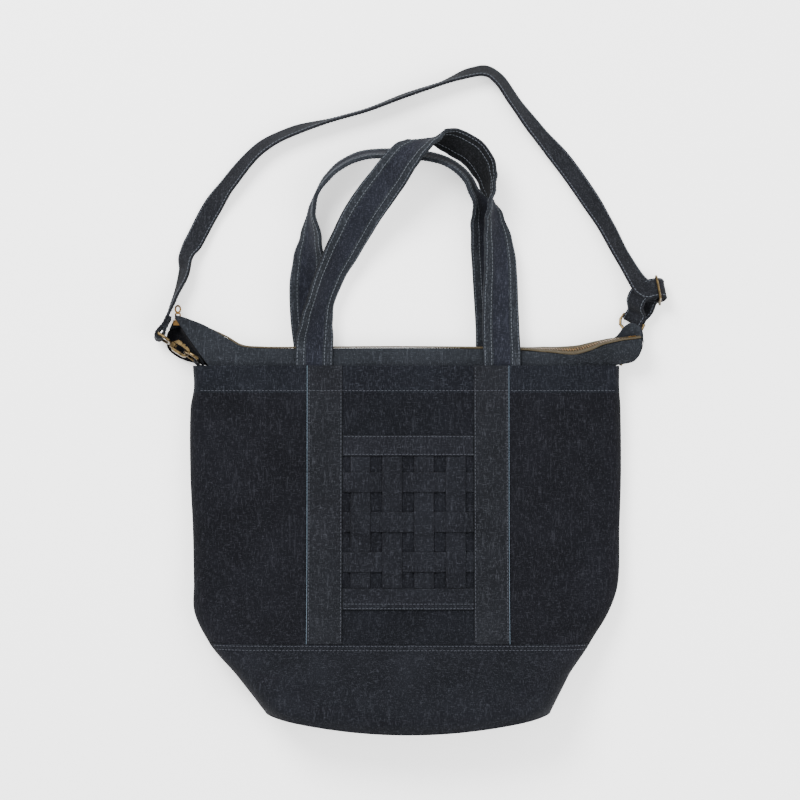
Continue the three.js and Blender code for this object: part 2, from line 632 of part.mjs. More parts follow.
// The handles: across is a share of the handle spacing, up of the handle rise, high of the handle
// width. aim and lean give the direction of the width in degrees.
const handleStack = clothWall + clearance + handleThickness / 2;
const backFoot = handleStack / handleWidth;
const frontFoot = (rimDepth - handleStack) / handleWidth;
const handleRows = {
  front: [
    { across: -0.5, up: 0, high: frontFoot, aim: 0, lean: 0 },
    { across: -0.499, up: 0.05, high: frontFoot, aim: 0, lean: 0 },
    { across: -0.497, up: 0.09, high: frontFoot, aim: 0, lean: 0 },
    { across: -0.486, up: 0.185, high: 0.76, aim: -5, lean: -34 },
    { across: -0.462, up: 0.279, high: 0.8, aim: -13, lean: -47 },
    { across: -0.407, up: 0.398, high: 0.77, aim: -24, lean: -42 },
    { across: -0.335, up: 0.509, high: 0.8, aim: -30, lean: -28 },
    { across: -0.234, up: 0.652, high: 0.96, aim: -34, lean: -8 },
    { across: -0.11, up: 0.785, high: 1.2, aim: -36, lean: 16 },
    { across: -0.015, up: 0.884, high: 1.38, aim: -34, lean: 32 },
    { across: 0.04, up: 0.923, high: 1.34, aim: -20, lean: 42 },
    { across: 0.09, up: 0.948, high: 1.2, aim: -4, lean: 48 },
    { across: 0.13, up: 0.962, high: 1.04, aim: 8, lean: 48 },
    { across: 0.175, up: 0.968, high: 0.94, aim: 28, lean: 50 },
    { across: 0.224, up: 0.958, high: 0.84, aim: 44, lean: 48 },
    { across: 0.28, up: 0.936, high: 0.78, aim: 48, lean: 45 },
    { across: 0.34, up: 0.907, high: 0.74, aim: 38, lean: 44 },
    { across: 0.392, up: 0.855, high: 0.72, aim: 26, lean: 48 },
    { across: 0.424, up: 0.794, high: 0.74, aim: 12, lean: 62 },
    { across: 0.437, up: 0.738, high: 0.83, aim: 2, lean: 78 },
    { across: 0.442, up: 0.691, high: 0.83, aim: -4, lean: 98 },
    { across: 0.456, up: 0.627, high: 0.77, aim: -8, lean: 122 },
    { across: 0.477, up: 0.535, high: 0.74, aim: -8, lean: 140 },
    { across: 0.49, up: 0.432, high: 0.71, aim: -6, lean: 150 },
    { across: 0.491, up: 0.28, high: 0.67, aim: -2, lean: 162 },
    { across: 0.494, up: 0.152, high: 0.65, aim: 0, lean: 174 },
    { across: 0.499, up: 0.069, high: frontFoot, aim: 0, lean: 180 },
    { across: 0.5, up: 0.045, high: frontFoot, aim: 0, lean: 180 },
    { across: 0.5, up: 0, high: frontFoot, aim: 0, lean: 180 },
  ],
  back: [
    { across: -0.507, up: 0, high: backFoot, aim: 0, lean: 0 },
    { across: -0.513, up: 0.077, high: backFoot, aim: 0, lean: 0 },
    { across: -0.53, up: 0.188, high: 0.11, aim: 1, lean: 0 },
    { across: -0.538, up: 0.326, high: 0.13, aim: 2, lean: 8 },
    { across: -0.529, up: 0.444, high: 0.3, aim: -2, lean: 30 },
    { across: -0.518, up: 0.545, high: 0.46, aim: -6, lean: 55 },
    { across: -0.514, up: 0.656, high: 0.53, aim: -8, lean: 80 },
    { across: -0.487, up: 0.732, high: 0.54, aim: -20, lean: 86 },
    { across: -0.426, up: 0.807, high: 0.54, aim: -38, lean: 80 },
    { across: -0.347, up: 0.862, high: 0.53, aim: -50, lean: 76 },
    { across: -0.245, up: 0.897, high: 0.53, aim: -66, lean: 74 },
    { across: -0.128, up: 0.906, high: 0.53, aim: -84, lean: 74 },
    { across: -0, up: 0.902, high: 0.53, aim: -92, lean: 74 },
    { across: 0.117, up: 0.892, high: 0.53, aim: -98, lean: 74 },
    { across: 0.202, up: 0.872, high: 0.53, aim: -112, lean: 75 },
    { across: 0.268, up: 0.839, high: 0.53, aim: -126, lean: 75 },
    { across: 0.322, up: 0.793, high: 0.53, aim: -134, lean: 75 },
    { across: 0.352, up: 0.741, high: 0.52, aim: -146, lean: 74 },
    { across: 0.397, up: 0.685, high: 0.42, aim: -160, lean: 50 },
    { across: 0.418, up: 0.603, high: 0.3, aim: -172, lean: 30 },
    { across: 0.434, up: 0.475, high: 0.2, aim: -178, lean: 14 },
    { across: 0.45, up: 0.304, high: 0.14, aim: -180, lean: 6 },
    { across: 0.461, up: 0.155, high: 0.112, aim: -180, lean: 0 },
    { across: 0.462, up: 0.069, high: backFoot, aim: -180, lean: 0 },
    { across: 0.462, up: 0.045, high: backFoot, aim: -180, lean: 0 },
    { across: 0.462, up: 0, high: backFoot, aim: -180, lean: 0 },
  ],
};

function handle(rows) {
  const places = rows.map((row) => ({
    centre: vector(row.across * handleSpacing, row.up * handleRise, row.high * handleWidth),
    across: widthDirection(row.aim, row.lean),
  }));
  const tucked = (place) => ({ centre: place.centre.clone().add(vector(0, -handleTuck, 0)), across: place.across });
  const all = [tucked(places[0]), ...places, tucked(places[places.length - 1])];
  const frames = strapFrames(all, (all.length - 1) * 2);
  return strap(frames, -handleWidth / 2, handleWidth / 2, handleThickness);
}
add("handle_front", handle(handleRows.front), denim);
add("handle_back", handle(handleRows.back), denim);

// Rows of a strap that turns round a bar: along points away from the turn, and side is the first
// leg's side. legs gives each leg's rows as distance from the bar and height over its centre.
function turnRound(bar, axis, along, radius, firstLeg, lastLeg) {
  const forward = along.clone().addScaledVector(axis, -along.dot(axis)).normalize();
  const side = forward.clone().cross(axis).normalize();
  const at = (distance, height) => ({
    centre: bar.clone().addScaledVector(forward, distance).addScaledVector(side, height),
    across: axis.clone(),
  });
  const arc = [90, 45, 0, -45, -90].map((turn) =>
    at(-radius * Math.cos(turn * degree), radius * Math.sin(turn * degree)),
  );
  const leg = (rows) => rows.map(([distance, height]) => at(distance, height));
  return [...leg(firstLeg), ...arc, ...leg(lastLeg)];
}

// The fittings' places: across is a share of the strap's span, up of the strap's rise, high of the
// strap's width.
const spot = (across, rise, high) => vector(across * strapSpan, rise * strapRise, high * strapWidth);
const leftBar = spot(-0.489, 0.1, 0.925);
const leftAxis = widthDirection(55, 80);
const leftHookWay = vector(0.84, -0.54, 0).normalize();
const leftStrapWay = vector(0.465, 0.885, 0).normalize();
const rightBar = spot(0.4453, 0.154, 0.5);
const rightAxis = widthDirection(-31, 22);
const rightRingAxis = widthDirection(-31, 0);
const rightHookWay = vector(-0.51, -0.86, -0.03).normalize();
const slideBar = spot(0.4917, 0.251, 0.7);
const slideAxis = widthDirection(-82, 25);
const slideWay = widthDirection(8, 0);

// The shoulder strap's run: across is a share of the strap's span, up of its rise. aim and lean
// give the direction from its outer to its inner edge, and it rests on its lower edge.
const strapRows = [
  { across: -0.46, up: 0.224, aim: -18, lean: 78 },
  { across: -0.441, up: 0.314, aim: -4, lean: 57 },
  { across: -0.438, up: 0.365, aim: -16, lean: 45 },
  { across: -0.422, up: 0.416, aim: -34, lean: 25 },
  { across: -0.389, up: 0.522, aim: -38, lean: 20 },
  { across: -0.353, up: 0.609, aim: -42, lean: 42 },
  { across: -0.293, up: 0.723, aim: -48, lean: 52 },
  { across: -0.233, up: 0.778, aim: -66, lean: 60 },
  { across: -0.141, up: 0.823, aim: -76, lean: 80 },
  { across: -0.079, up: 0.853, aim: -72, lean: 80 },
  { across: -0.005, up: 0.901, aim: -70, lean: 77 },
  { across: 0.063, up: 0.939, aim: -72, lean: 80 },
  { across: 0.124, up: 0.977, aim: -78, lean: 60 },
  { across: 0.155, up: 0.982, aim: -98, lean: 55 },
  { across: 0.179, up: 0.955, aim: -127, lean: 54 },
  { across: 0.21, up: 0.88, aim: -142, lean: 54 },
  { across: 0.255, up: 0.781, aim: -142, lean: 42 },
  { across: 0.308, up: 0.676, aim: -143, lean: 22 },
  { across: 0.355, up: 0.564, aim: -147, lean: 22 },
  { across: 0.391, up: 0.465, aim: -150, lean: 36 },
  { across: 0.424, up: 0.361, aim: -148, lean: 42 },
];

const limbRows = {
  lower: [
    { across: 0.4745, up: 0.222, high: 0.45, aim: -58, lean: 30 },
    { across: 0.4665, up: 0.19, high: 0.4, aim: -40, lean: 34 },
  ],
  upper: [
    { across: 0.4455, up: 0.205, high: 1.0, aim: -34, lean: 34 },
    { across: 0.4535, up: 0.235, high: 0.95, aim: -52, lean: 30 },
  ],
};

const wrapRadius = wireRadius + 1.5 * clearance + strapThickness / 2;
const outerWrapRadius = wrapRadius + strapThickness + clearance;
const layerHalf = (strapThickness + clearance) / 2;
const lieOnFloor = (row) => ({
  centre: vector(
    row.across * strapSpan,
    row.up * strapRise,
    3 * clearance + (strapWidth / 2) * Math.sin(row.lean * degree) + (strapThickness / 2) * Math.cos(row.lean * degree),
  ),
  across: widthDirection(row.aim, row.lean),
});
const limb = (row) => ({ centre: spot(row.across, row.up, row.high), across: widthDirection(row.aim, row.lean) });

const leftTurn = turnRound(
  leftBar,
  leftAxis,
  leftStrapWay,
  wrapRadius,
  [[20, layerHalf], [10, layerHalf], [4.5, wrapRadius * 0.85]],
  [[4.5, -wrapRadius * 0.85], [10, -layerHalf], [16, -layerHalf]],
);
const backWay = slideWay.clone().negate();
const slideTurn = turnRound(
  slideBar,
  slideAxis,
  backWay,
  outerWrapRadius,
  [[12, outerWrapRadius], [6, outerWrapRadius]],
  [[5, -outerWrapRadius]],
);
const rightStrapWay = rightHookWay.clone().negate();
const rightTurn = turnRound(
  rightBar,
  rightAxis,
  rightStrapWay,
  wrapRadius,
  [[6, wrapRadius]],
  [[6, -wrapRadius]],
);
const slideEnd = turnRound(
  slideBar,
  slideAxis,
  backWay,
  wrapRadius,
  [[11, layerHalf * 1.3], [5, wrapRadius * 0.9]],
  [[5, -wrapRadius * 0.85], [10, -layerHalf], [13, -layerHalf]],
);
const strapPlaces = [
  ...leftTurn,
  ...strapRows.map(lieOnFloor),
  ...slideTurn,
  ...limbRows.lower.map(limb),
  ...rightTurn,
  ...limbRows.upper.map(limb),
  ...slideEnd,
];
const strapPath = strapFrames(strapPlaces, (strapPlaces.length - 1) * 2);
add("shoulder_strap", strap(strapPath, -strapWidth / 2, strapWidth / 2, strapThickness), denim);

// The snap hooks. Places along a hook are measured from its eye bar's centre.
const hook = {
  eyeDepth: 12,
  barrelLength: 4,
  barrelRadius: 3.4,
  stemRadius: 1.2,
  headRadius: 2.2,
  headLength: 1.4,
  wall: 2.6,
  hingeRadius: 1.4,
  hingeLug: 1.9,
  pinRadius: 0.6,
  gateThickness: 1.8,
  tipLength: 1.1,
  knob: 1.2,
};
const eyeHalf = strapInner / 2 + wireRadius;
const hookHalf = hookWidth / 2;
const jawRadius = hookHalf - hook.wall;
const jawCentre = hookLength - hookHalf;
const barrelStart = hook.eyeDepth + wireRadius + clearance;
const barrelEnd = barrelStart + hook.barrelLength;
const headStart = barrelEnd + clearance;
const headEnd = headStart + hook.headLength;
const tipFace = jawCentre - hook.tipLength;
const hingeX = headEnd + hook.hingeRadius;
const hingeY = jawRadius + hook.hingeLug + clearance / 2;
const ringApex = jawCentre + jawRadius - wireRadius - clearance;
const ringBarX = ringApex + ringDepth;

// Local axes of a fitting: X along its way, Z along its axis.
function placeOf(origin, way, axis) {
  const z = axis.clone().addScaledVector(way, -axis.dot(way)).normalize();
  const y = z.clone().cross(way);
  const turn = new THREE.Quaternion().setFromRotationMatrix(new THREE.Matrix4().makeBasis(way, y, z));
  return { origin, turn };
}

function fit(name, geometry, place, material) {
  const mesh = add(name, geometry, material);
  mesh.position.copy(place.origin);
  mesh.quaternion.copy(place.turn);
  return mesh;
}

function hookEye() {
  const h = eyeHalf;
  const d = hook.eyeDepth;
  const outline = [[0, h], [d * 0.5, h], [d * 0.85, h * 0.8], [d, h * 0.4], [d, -h * 0.4], [d * 0.85, -h * 0.8],
    [d * 0.5, -h], [0, -h], [0, 0]];
  const loop = wireLoop(outline.map(([x, z]) => vector(x, 0, z)), wireRadius, vector(0, 1, 0));
  const stem = rod(hook.stemRadius, d, headEnd - clearance);
  const head = rod(hook.headRadius, headStart, headEnd);
  return joined(loop, stem, head);
}

function upright(shape, thickness, segments = 8) {
  const geometry = new THREE.ExtrudeGeometry(shape, { depth: thickness, bevelEnabled: false, curveSegments: segments });
  return geometry.translate(0, 0, -thickness / 2);
}

function hookBody() {
  const shape = new THREE.Shape();
  const shoulder = barrelStart + hook.barrelLength / 4;
  shape.moveTo(shoulder, -hook.barrelRadius * 0.8);
  shape.lineTo(barrelEnd, -hookHalf);
  shape.lineTo(jawCentre, -hookHalf);
  shape.absarc(jawCentre, 0, hookHalf, -Math.PI / 2, Math.PI / 2, false);
  shape.lineTo(tipFace, hookHalf);
  shape.lineTo(tipFace, jawRadius);
  shape.lineTo(jawCentre, jawRadius);
  shape.absarc(jawCentre, 0, jawRadius, Math.PI / 2, -Math.PI / 2, true);
  shape.lineTo(barrelEnd, -jawRadius);
  shape.lineTo(barrelEnd, hingeY - hook.hingeLug);
  shape.lineTo(hingeX, hingeY - hook.hingeLug);
  shape.absarc(hingeX, hingeY, hook.hingeLug, -Math.PI / 2, Math.PI / 2, false);
  shape.lineTo(barrelEnd, hingeY + hook.hingeLug);
  shape.lineTo(shoulder, hook.barrelRadius * 0.8);
  const frame = upright(shape, hookThickness);
  const barrel = rod(hook.barrelRadius, barrelStart, barrelEnd);
  const bore = rod(hook.stemRadius + clearance, barrelStart - 1, barrelEnd + 1);
  const slotLength = hook.hingeRadius + hook.hingeLug + 2 * clearance + 1;
  const slot = new THREE.BoxGeometry(slotLength, 2 * hook.hingeLug + 1, hook.gateThickness + 2 * clearance);
  slot.translate(hingeX - hook.hingeRadius - clearance + slotLength / 2, hingeY, 0);
  const pin = new THREE.CylinderGeometry(hook.pinRadius, hook.pinRadius, hookThickness - 0.2, 8);
  pin.rotateX(Math.PI / 2).translate(hingeX, hingeY, 0);
  return joined(cut(joined(frame, barrel), bore, slot), pin);
}

function hookGate() {
  const r = hook.hingeRadius;
  const end = tipFace - clearance;
  const knobX = mix(hingeX, end, 0.62);
  const shape = new THREE.Shape();
  shape.moveTo(hingeX, hingeY - r);
  shape.lineTo(end, jawRadius + 0.2);
  shape.lineTo(end, hookHalf);
  shape.lineTo(knobX + hook.knob, hookHalf);
  shape.lineTo(knobX + hook.knob * 0.8, hookHalf + hook.knob);
  shape.lineTo(knobX - hook.knob * 0.8, hookHalf + hook.knob);
  shape.lineTo(knobX - hook.knob, hookHalf + 0.1);
  shape.lineTo(hingeX, hingeY + r);
  shape.absarc(hingeX, hingeY, r, Math.PI / 2, (3 * Math.PI) / 2, false);
  const bore = new THREE.Path();
  bore.absarc(hingeX, hingeY, hook.pinRadius + clearance, 0, 2 * Math.PI, true);
  shape.holes.push(bore);
  return upright(shape, hook.gateThickness, 6);
}

function ring() {
  const h = eyeHalf;
  const straight = ringDepth / 3;
  const bend = range(11).map((step) => {
    const angle = (step / 10) * Math.PI;
    return vector(ringBarX - straight - (ringDepth - straight) * Math.sin(angle), 0, h * Math.cos(angle));
  });
  const bar = [vector(ringBarX, 0, -h), vector(ringBarX, 0, 0), vector(ringBarX, 0, h)];
  return wireLoop([...bend, ...bar], wireRadius, vector(0, 1, 0));
}

function ringTab(barPoint, axis, foot) {
  const way = foot.clone().sub(barPoint);
  const slide = way.dot(axis);
  way.addScaledVector(axis, -slide);
  const length = way.length();
  const radius = wireRadius + clearance + tabWall / 2;
  const layer = (tabWall + clearance) / 2;
  const out = [[length, layer], [length * 0.5, layer * 1.2], [3.5, radius * 0.85]];
  const back = [[3.5, -radius * 0.85], [length * 0.5, -layer * 1.2], [length, -layer]];
  const places = turnRound(barPoint, axis, way.normalize(), radius, out, back);
  for (const place of places) {
    const share = place.centre.clone().sub(barPoint).dot(way) / length;
    place.centre.addScaledVector(axis, slide * Math.max(0, share));
  }
  const frames = strapFrames(places, (places.length - 1) * 2);
  return strap(frames, -tabWidth / 2, tabWidth / 2, tabWall);
}

const chains = [
  {
    side: "left",
    bar: leftBar,
    way: leftHookWay,
    eyeAxis: leftAxis,
    axis: leftAxis,
    foot: vector(-0.466 * bodyWidth, -tabTuck * 0.65, rimDepth * 0.42),
  },
  {
    side: "right",
    bar: rightBar,
    way: rightHookWay,
    eyeAxis: rightAxis,
    axis: rightRingAxis,
    foot: vector(0.438 * bodyWidth, -tabTuck, clothWall + clearance * 1.5 + tabWall),
  },
];
for (const chain of chains) {
  const place = placeOf(chain.bar, chain.way, chain.axis);
  fit("hook_" + chain.side + "_eye", hookEye(), placeOf(chain.bar, chain.way, chain.eyeAxis), brass);
  fit("hook_" + chain.side + "_body", hookBody(), place, brass);
  fit("hook_" + chain.side + "_gate", hookGate(), place, brass);
  fit("ring_" + chain.side, ring(), place, brass);
  const ringBar = chain.bar.clone().addScaledVector(chain.way, ringBarX);
  add("ring_tab_" + chain.side, ringTab(ringBar, chain.axis, chain.foot), denim);
}

// The three-bar slider at the strap's right end.
function strapSlider() {
  const barRadius = wireRadius * 0.8;
  const long = strapInner / 2 + barRadius;
  const high = outerWrapRadius + strapThickness / 2 + clearance + barRadius;
  const corner = barRadius;
  const outline = [[-long, -high + corner], [-long, high - corner], [-long + corner, high], [long - corner, high],
    [long, high - corner], [long, -high + corner], [long - corner, -high], [-long + corner, -high]];
  const frame = wireLoop(outline.map(([z, y]) => vector(0, y, z)), barRadius, vector(1, 0, 0));
  const bar = rod(wireRadius, -long, long, 10);
  bar.rotateY(Math.PI / 2);
  return joined(frame, bar);
}
fit("strap_slider", strapSlider(), placeOf(slideBar, slideWay, slideAxis), brass);

// The zip's slider at the left tip, with the bail that holds the pull.
const zipSlider = {
  width: 8.4,
  length: 8.8,
  thickness: 5,
  bailHalf: 3.4,
  bailHeight: 3.6,
  bailWidth: 2.4,
  bailWall: 1.2,
};
const sliderShift = 0.6;
const pullBar = pullThickness / 2;
const pullHinge = pullBar * Math.SQRT2 + clearance / 2;
const pullReach = Math.hypot(zipSlider.bailHalf, zipSlider.bailHeight - pullHinge) + clearance;
const zipStart = zipFrames[0].centre;
const sliderOrigin = vector(
  zipStart.x - clearance - zipSlider.width / 2,
  zipStart.y - pullHinge,
  zipStart.z,
);
const sliderPlace = placeOf(sliderOrigin, vector(1, 0, 0), vector(0, 1, 0));

function zipperSlider() {
  const { width, length, thickness, bailHalf, bailHeight, bailWidth, bailWall } = zipSlider;
  const outline = new THREE.Shape();
  outline.moveTo(-width / 2, -length / 2);
  outline.lineTo(width / 2, -length / 2);
  outline.lineTo(width / 2, sliderShift);
  outline.absarc(0, sliderShift, width / 2, 0, Math.PI, false);
  const block = upright(outline, thickness, 6).translate(0, 0, -thickness / 2);
  const arch = new THREE.Shape();
  arch.moveTo(-bailHalf, -0.4);
  arch.lineTo(bailHalf, -0.4);
  arch.lineTo(bailHalf, bailHeight * 0.6);
  arch.lineTo(bailHalf * 0.7, bailHeight);
  arch.lineTo(-bailHalf * 0.7, bailHeight);
  arch.lineTo(-bailHalf, bailHeight * 0.6);
  const window = new THREE.Path();
  const half = bailHalf - bailWall;
  window.moveTo(-half, 0);
  window.lineTo(-half, bailHeight - bailWall);
  window.lineTo(half, bailHeight - bailWall);
  window.lineTo(half, 0);
  arch.holes.push(window);
  const bail = upright(arch, bailWidth).rotateX(Math.PI / 2).rotateZ(Math.PI / 2);
  return joined(block, bail);
}

function zipperPull() {
  const arm = pullWidth / 2;
  const slot = zipSlider.bailWidth / 2 + clearance;
  const stem = pullWidth * 0.3;
  const neckTurn = Math.acos(stem / arm);
  const eyeY = pullLength - pullWidth * 0.66;
  const shape = new THREE.Shape();
  shape.moveTo(-arm * 0.9, -pullBar);
  shape.lineTo(arm * 0.9, -pullBar);
  shape.lineTo(arm * 0.9, pullReach + 0.6);
  shape.lineTo(stem, pullReach + 1.2);
  shape.absellipse(0, eyeY, arm, pullWidth * 0.66, -neckTurn, Math.PI + neckTurn, false);
  shape.lineTo(-stem, pullReach + 1.2);
  shape.lineTo(-arm * 0.9, pullReach + 0.6);
  const window = new THREE.Path();
  window.moveTo(-slot, pullBar);
  window.lineTo(-slot, pullReach);
  window.lineTo(slot, pullReach);
  window.lineTo(slot, pullBar);
  const eye = new THREE.Path();
  eye.absellipse(0, eyeY, arm * 0.5, pullWidth * 0.36, 0, 2 * Math.PI, true);
  shape.holes.push(window, eye);
  return upright(shape, pullThickness, 8).rotateX(Math.PI / 2);
}
fit("zipper_slider", zipperSlider(), sliderPlace, brass);
const pullPlace = { origin: sliderOrigin.clone().add(vector(0, pullHinge, 0)), turn: sliderPlace.turn };
fit("zipper_pull", zipperPull(), pullPlace, brass);

// Set the model on the middle of its box.
const whole = new THREE.Box3().setFromObject(bag, true);
const centre = whole.getCenter(vector(0, 0, 0));
bag.position.set(-centre.x, -centre.y, -whole.min.z);

export default bag;
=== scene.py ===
import json
import math

import bpy
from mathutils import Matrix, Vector, noise

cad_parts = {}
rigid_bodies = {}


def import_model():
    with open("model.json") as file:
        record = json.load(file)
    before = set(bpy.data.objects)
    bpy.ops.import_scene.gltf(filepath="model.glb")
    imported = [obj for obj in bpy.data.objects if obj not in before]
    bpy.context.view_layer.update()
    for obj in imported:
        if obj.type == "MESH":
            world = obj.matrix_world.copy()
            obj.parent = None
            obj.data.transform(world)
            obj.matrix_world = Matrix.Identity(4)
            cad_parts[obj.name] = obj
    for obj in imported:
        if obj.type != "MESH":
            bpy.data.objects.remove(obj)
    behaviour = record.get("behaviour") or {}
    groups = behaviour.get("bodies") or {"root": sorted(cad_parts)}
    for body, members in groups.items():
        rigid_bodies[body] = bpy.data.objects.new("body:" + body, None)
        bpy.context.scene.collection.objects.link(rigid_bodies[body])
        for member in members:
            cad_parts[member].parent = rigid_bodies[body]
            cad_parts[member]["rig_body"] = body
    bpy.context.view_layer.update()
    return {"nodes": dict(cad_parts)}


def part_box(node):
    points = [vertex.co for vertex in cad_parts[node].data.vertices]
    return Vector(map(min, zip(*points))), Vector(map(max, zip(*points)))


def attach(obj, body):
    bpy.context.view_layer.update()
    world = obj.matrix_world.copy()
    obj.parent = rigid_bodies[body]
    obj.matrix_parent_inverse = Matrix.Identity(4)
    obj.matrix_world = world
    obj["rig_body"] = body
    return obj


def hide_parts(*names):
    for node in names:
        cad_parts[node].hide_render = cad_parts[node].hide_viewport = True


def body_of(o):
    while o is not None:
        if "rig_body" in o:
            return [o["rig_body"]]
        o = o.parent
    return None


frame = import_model()

# Driving sizes in millimetres, the same as the solids'.
MM = 0.001
BODY_WIDTH = 408
BODY_LENGTH = 341.5
BASE_DEPTH = 78
CLOTH_WALL = 2
SEAM_GAP = 0.3
BAND_WIDTH = 33.3
BAND_SPACING = 156.8
BAND_THICKNESS = 1.6
STRIP_WIDTH = 18.7
STRIP_THICKNESS = 1.5
STRIP_PITCH_ACROSS = 29.8
STRIP_PITCH_DOWN = 37.3
RAIL_WIDTH = 19.8
RAIL_DROP = 75
RAIL_SPACING = 143.5
GUSSET_HEIGHT = 16
ZIP_TAPE_WIDTH = 14
ZIP_TAPE_THICKNESS = 1.2
CHAIN_WIDTH = 5.2
HANDLE_WIDTH = 35
HANDLE_THICKNESS = 3.3
HANDLE_SPACING = 177
HANDLE_RISE = 221
HANDLE_TUCK = 20
STRAP_WIDTH = 20
STRAP_THICKNESS = 2.4
STRAP_SPAN = 480
STRAP_RISE = 284
WIRE_RADIUS = 1.5
CLEARANCE = 0.3
RIM_DEPTH = BASE_DEPTH * 0.333
HEM_DEPTH = 23.5

# The base seam's place and the bottom's bow, as shares of the body's length.
BASE_SEAM = 0.76
BOTTOM_BOW = 0.05

# The thread's radius, the length of a stitch and the way from one stitch to the next.
THREAD = 0.34
STITCH = 2.6
STITCH_PITCH = 3.4

# Where the solids' rim line and middle lie in the frame, in millimetres.
RIM_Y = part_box("front_panel")[1].y / MM
MIDDLE_X = (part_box("band_left")[0].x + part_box("band_right")[1].x) / 2 / MM
ORIGIN = Vector((MIDDLE_X, RIM_Y, 0))

# The photograph's picture centre and width, in millimetres from the rim's middle.
PHOTO_CENTRE = Vector((-7.6, -32.3, 0))
PHOTO_WIDTH = 760
CAMERA_HEIGHT = 2400
SENSOR = 36


def rows_of(columns, rows):
    return [dict(zip(columns.split(), row)) for row in rows]


# The same tables as the solids: shares of the sizes above, and turns and leans in degrees.
SECTIONS = rows_of("down left right depth corner crown", [
    (0, 0.498, 0.489, 0.333, 0.03, 0.04),
    (0.06, 0.496, 0.489, 0.335, 0.035, 0.05),
    (0.12, 0.504, 0.492, 0.345, 0.05, 0.07),
    (0.3, 0.504, 0.493, 0.375, 0.08, 0.12),
    (0.45, 0.498, 0.489, 0.41, 0.1, 0.14),
    (0.6, 0.495, 0.485, 0.48, 0.13, 0.15),
    (0.68, 0.493, 0.462, 0.55, 0.15, 0.13),
    (0.76, 0.459, 0.42, 0.66, 0.18, 0.1),
    (0.85, 0.404, 0.376, 0.86, 0.2, 0.08),
    (0.92, 0.369, 0.353, 0.97, 0.2, 0.07),
    (0.97, 0.343, 0.336, 1, 0.2, 0.06),
    (1, 0.3265, 0.3256, 0.93, 0.22, 0.06),
])

DENTS = rows_of("down across wide long depth turn", [
    (0.25, 0.4, 0.035, 0.1, 0.05, -35),
    (0.33, 0.43, 0.03, 0.09, 0.04, -30),
    (0.58, 0.36, 0.06, 0.09, 0.04, 20),
    (0.14, -0.46, 0.03, 0.07, 0.03, 15),
    (0.6, -0.42, 0.04, 0.1, 0.04, 35),
    (0.91, -0.24, 0.03, 0.05, 0.05, 30),
    (0.9, 0.26, 0.03, 0.05, 0.04, -30),
])

ZIP_ROWS = rows_of("across rise height lean", [
    (-0.522, 2.77, 0.5, 90),
    (-0.47, 2.3, 0.5, 90),
    (-0.42, 1.72, 0.5, 88),
    (-0.385, 1.22, 0.5, 88),
    (-0.34, 1.1, 0.5, 88),
    (-0.2, 1.1, 0.5, 88),
    (-0.02, 1.12, 0.5, 88),
    (0.17, 1.08, 0.5, 86),
    (0.27, 1.02, 0.5, 82),
    (0.32, 0.97, 0.56, 72),
    (0.385, 0.93, 0.68, 57),
    (0.415, 1.1, 0.82, 60),
    (0.455, 1.42, 0.95, 74),
    (0.5, 1.6, 1.02, 82),
    (0.535, 1.7, 1.02, 84),
])

STRAP_COLUMNS = "across up high aim lean"
STRAP_ROWS = rows_of("across up aim lean", [
    (-0.46, 0.224, -18, 78),
    (-0.441, 0.314, -4, 57),
    (-0.438, 0.365, -16, 45),
    (-0.422, 0.416, -34, 25),
    (-0.389, 0.522, -38, 20),
    (-0.353, 0.609, -42, 42),
    (-0.293, 0.723, -48, 52),
    (-0.233, 0.778, -66, 60),
    (-0.141, 0.823, -76, 80),
    (-0.079, 0.853, -72, 80),
    (-0.005, 0.901, -70, 77),
    (0.063, 0.939, -72, 80),
    (0.124, 0.977, -78, 60),
    (0.155, 0.982, -98, 55),
    (0.179, 0.955, -127, 54),
    (0.21, 0.88, -142, 54),
    (0.255, 0.781, -142, 42),
    (0.308, 0.676, -143, 22),
    (0.355, 0.564, -147, 22),
    (0.391, 0.465, -150, 36),
    (0.424, 0.361, -148, 42),
])

LOWER_LIMB = rows_of(STRAP_COLUMNS, [
    (0.4745, 0.222, 0.45, -58, 30),
    (0.4665, 0.19, 0.4, -40, 34),
])

UPPER_LIMB = rows_of(STRAP_COLUMNS, [
    (0.4455, 0.205, 1.0, -34, 34),
    (0.4535, 0.235, 0.95, -52, 30),
])


def mix(a, b, share):
    return a + (b - a) * share


def clamp(value, low=0.0, high=1.0):
    return min(high, max(low, value))


def smooth(share):
    return share * share * (3 - 2 * share)


def step_up(value, start, end):
    return smooth(clamp((value - start) / (end - start)))


def read(table, column, at):
    """A value read from a table whose first column rises, on an even curve through its rows."""
    key = next(iter(table[0]))
    if at <= table[0][key]:
        return table[0][column]
    if at >= table[-1][key]:
        return table[-1][column]
    index = next(i for i, row in enumerate(table) if row[key] >= at)
    a, b = table[index - 1], table[index]
    before, after = table[max(index - 2, 0)], table[min(index + 1, len(table) - 1)]
    span = b[key] - a[key]
    share = (at - a[key]) / span
    slope_a = (b[column] - before[column]) / (b[key] - before[key]) * span
    slope_b = (after[column] - a[column]) / (after[key] - a[key]) * span
    s2, s3 = share * share, share**3
    return (
        (2 * s3 - 3 * s2 + 1) * a[column]
        + (s3 - 2 * s2 + share) * slope_a
        + (3 * s2 - 2 * s3) * b[column]
        + (s3 - s2) * slope_b
    )


# Meshes.
def link(mesh, name):
    obj = bpy.data.objects.new(name, mesh)
    bpy.context.scene.collection.objects.link(obj)
    return obj


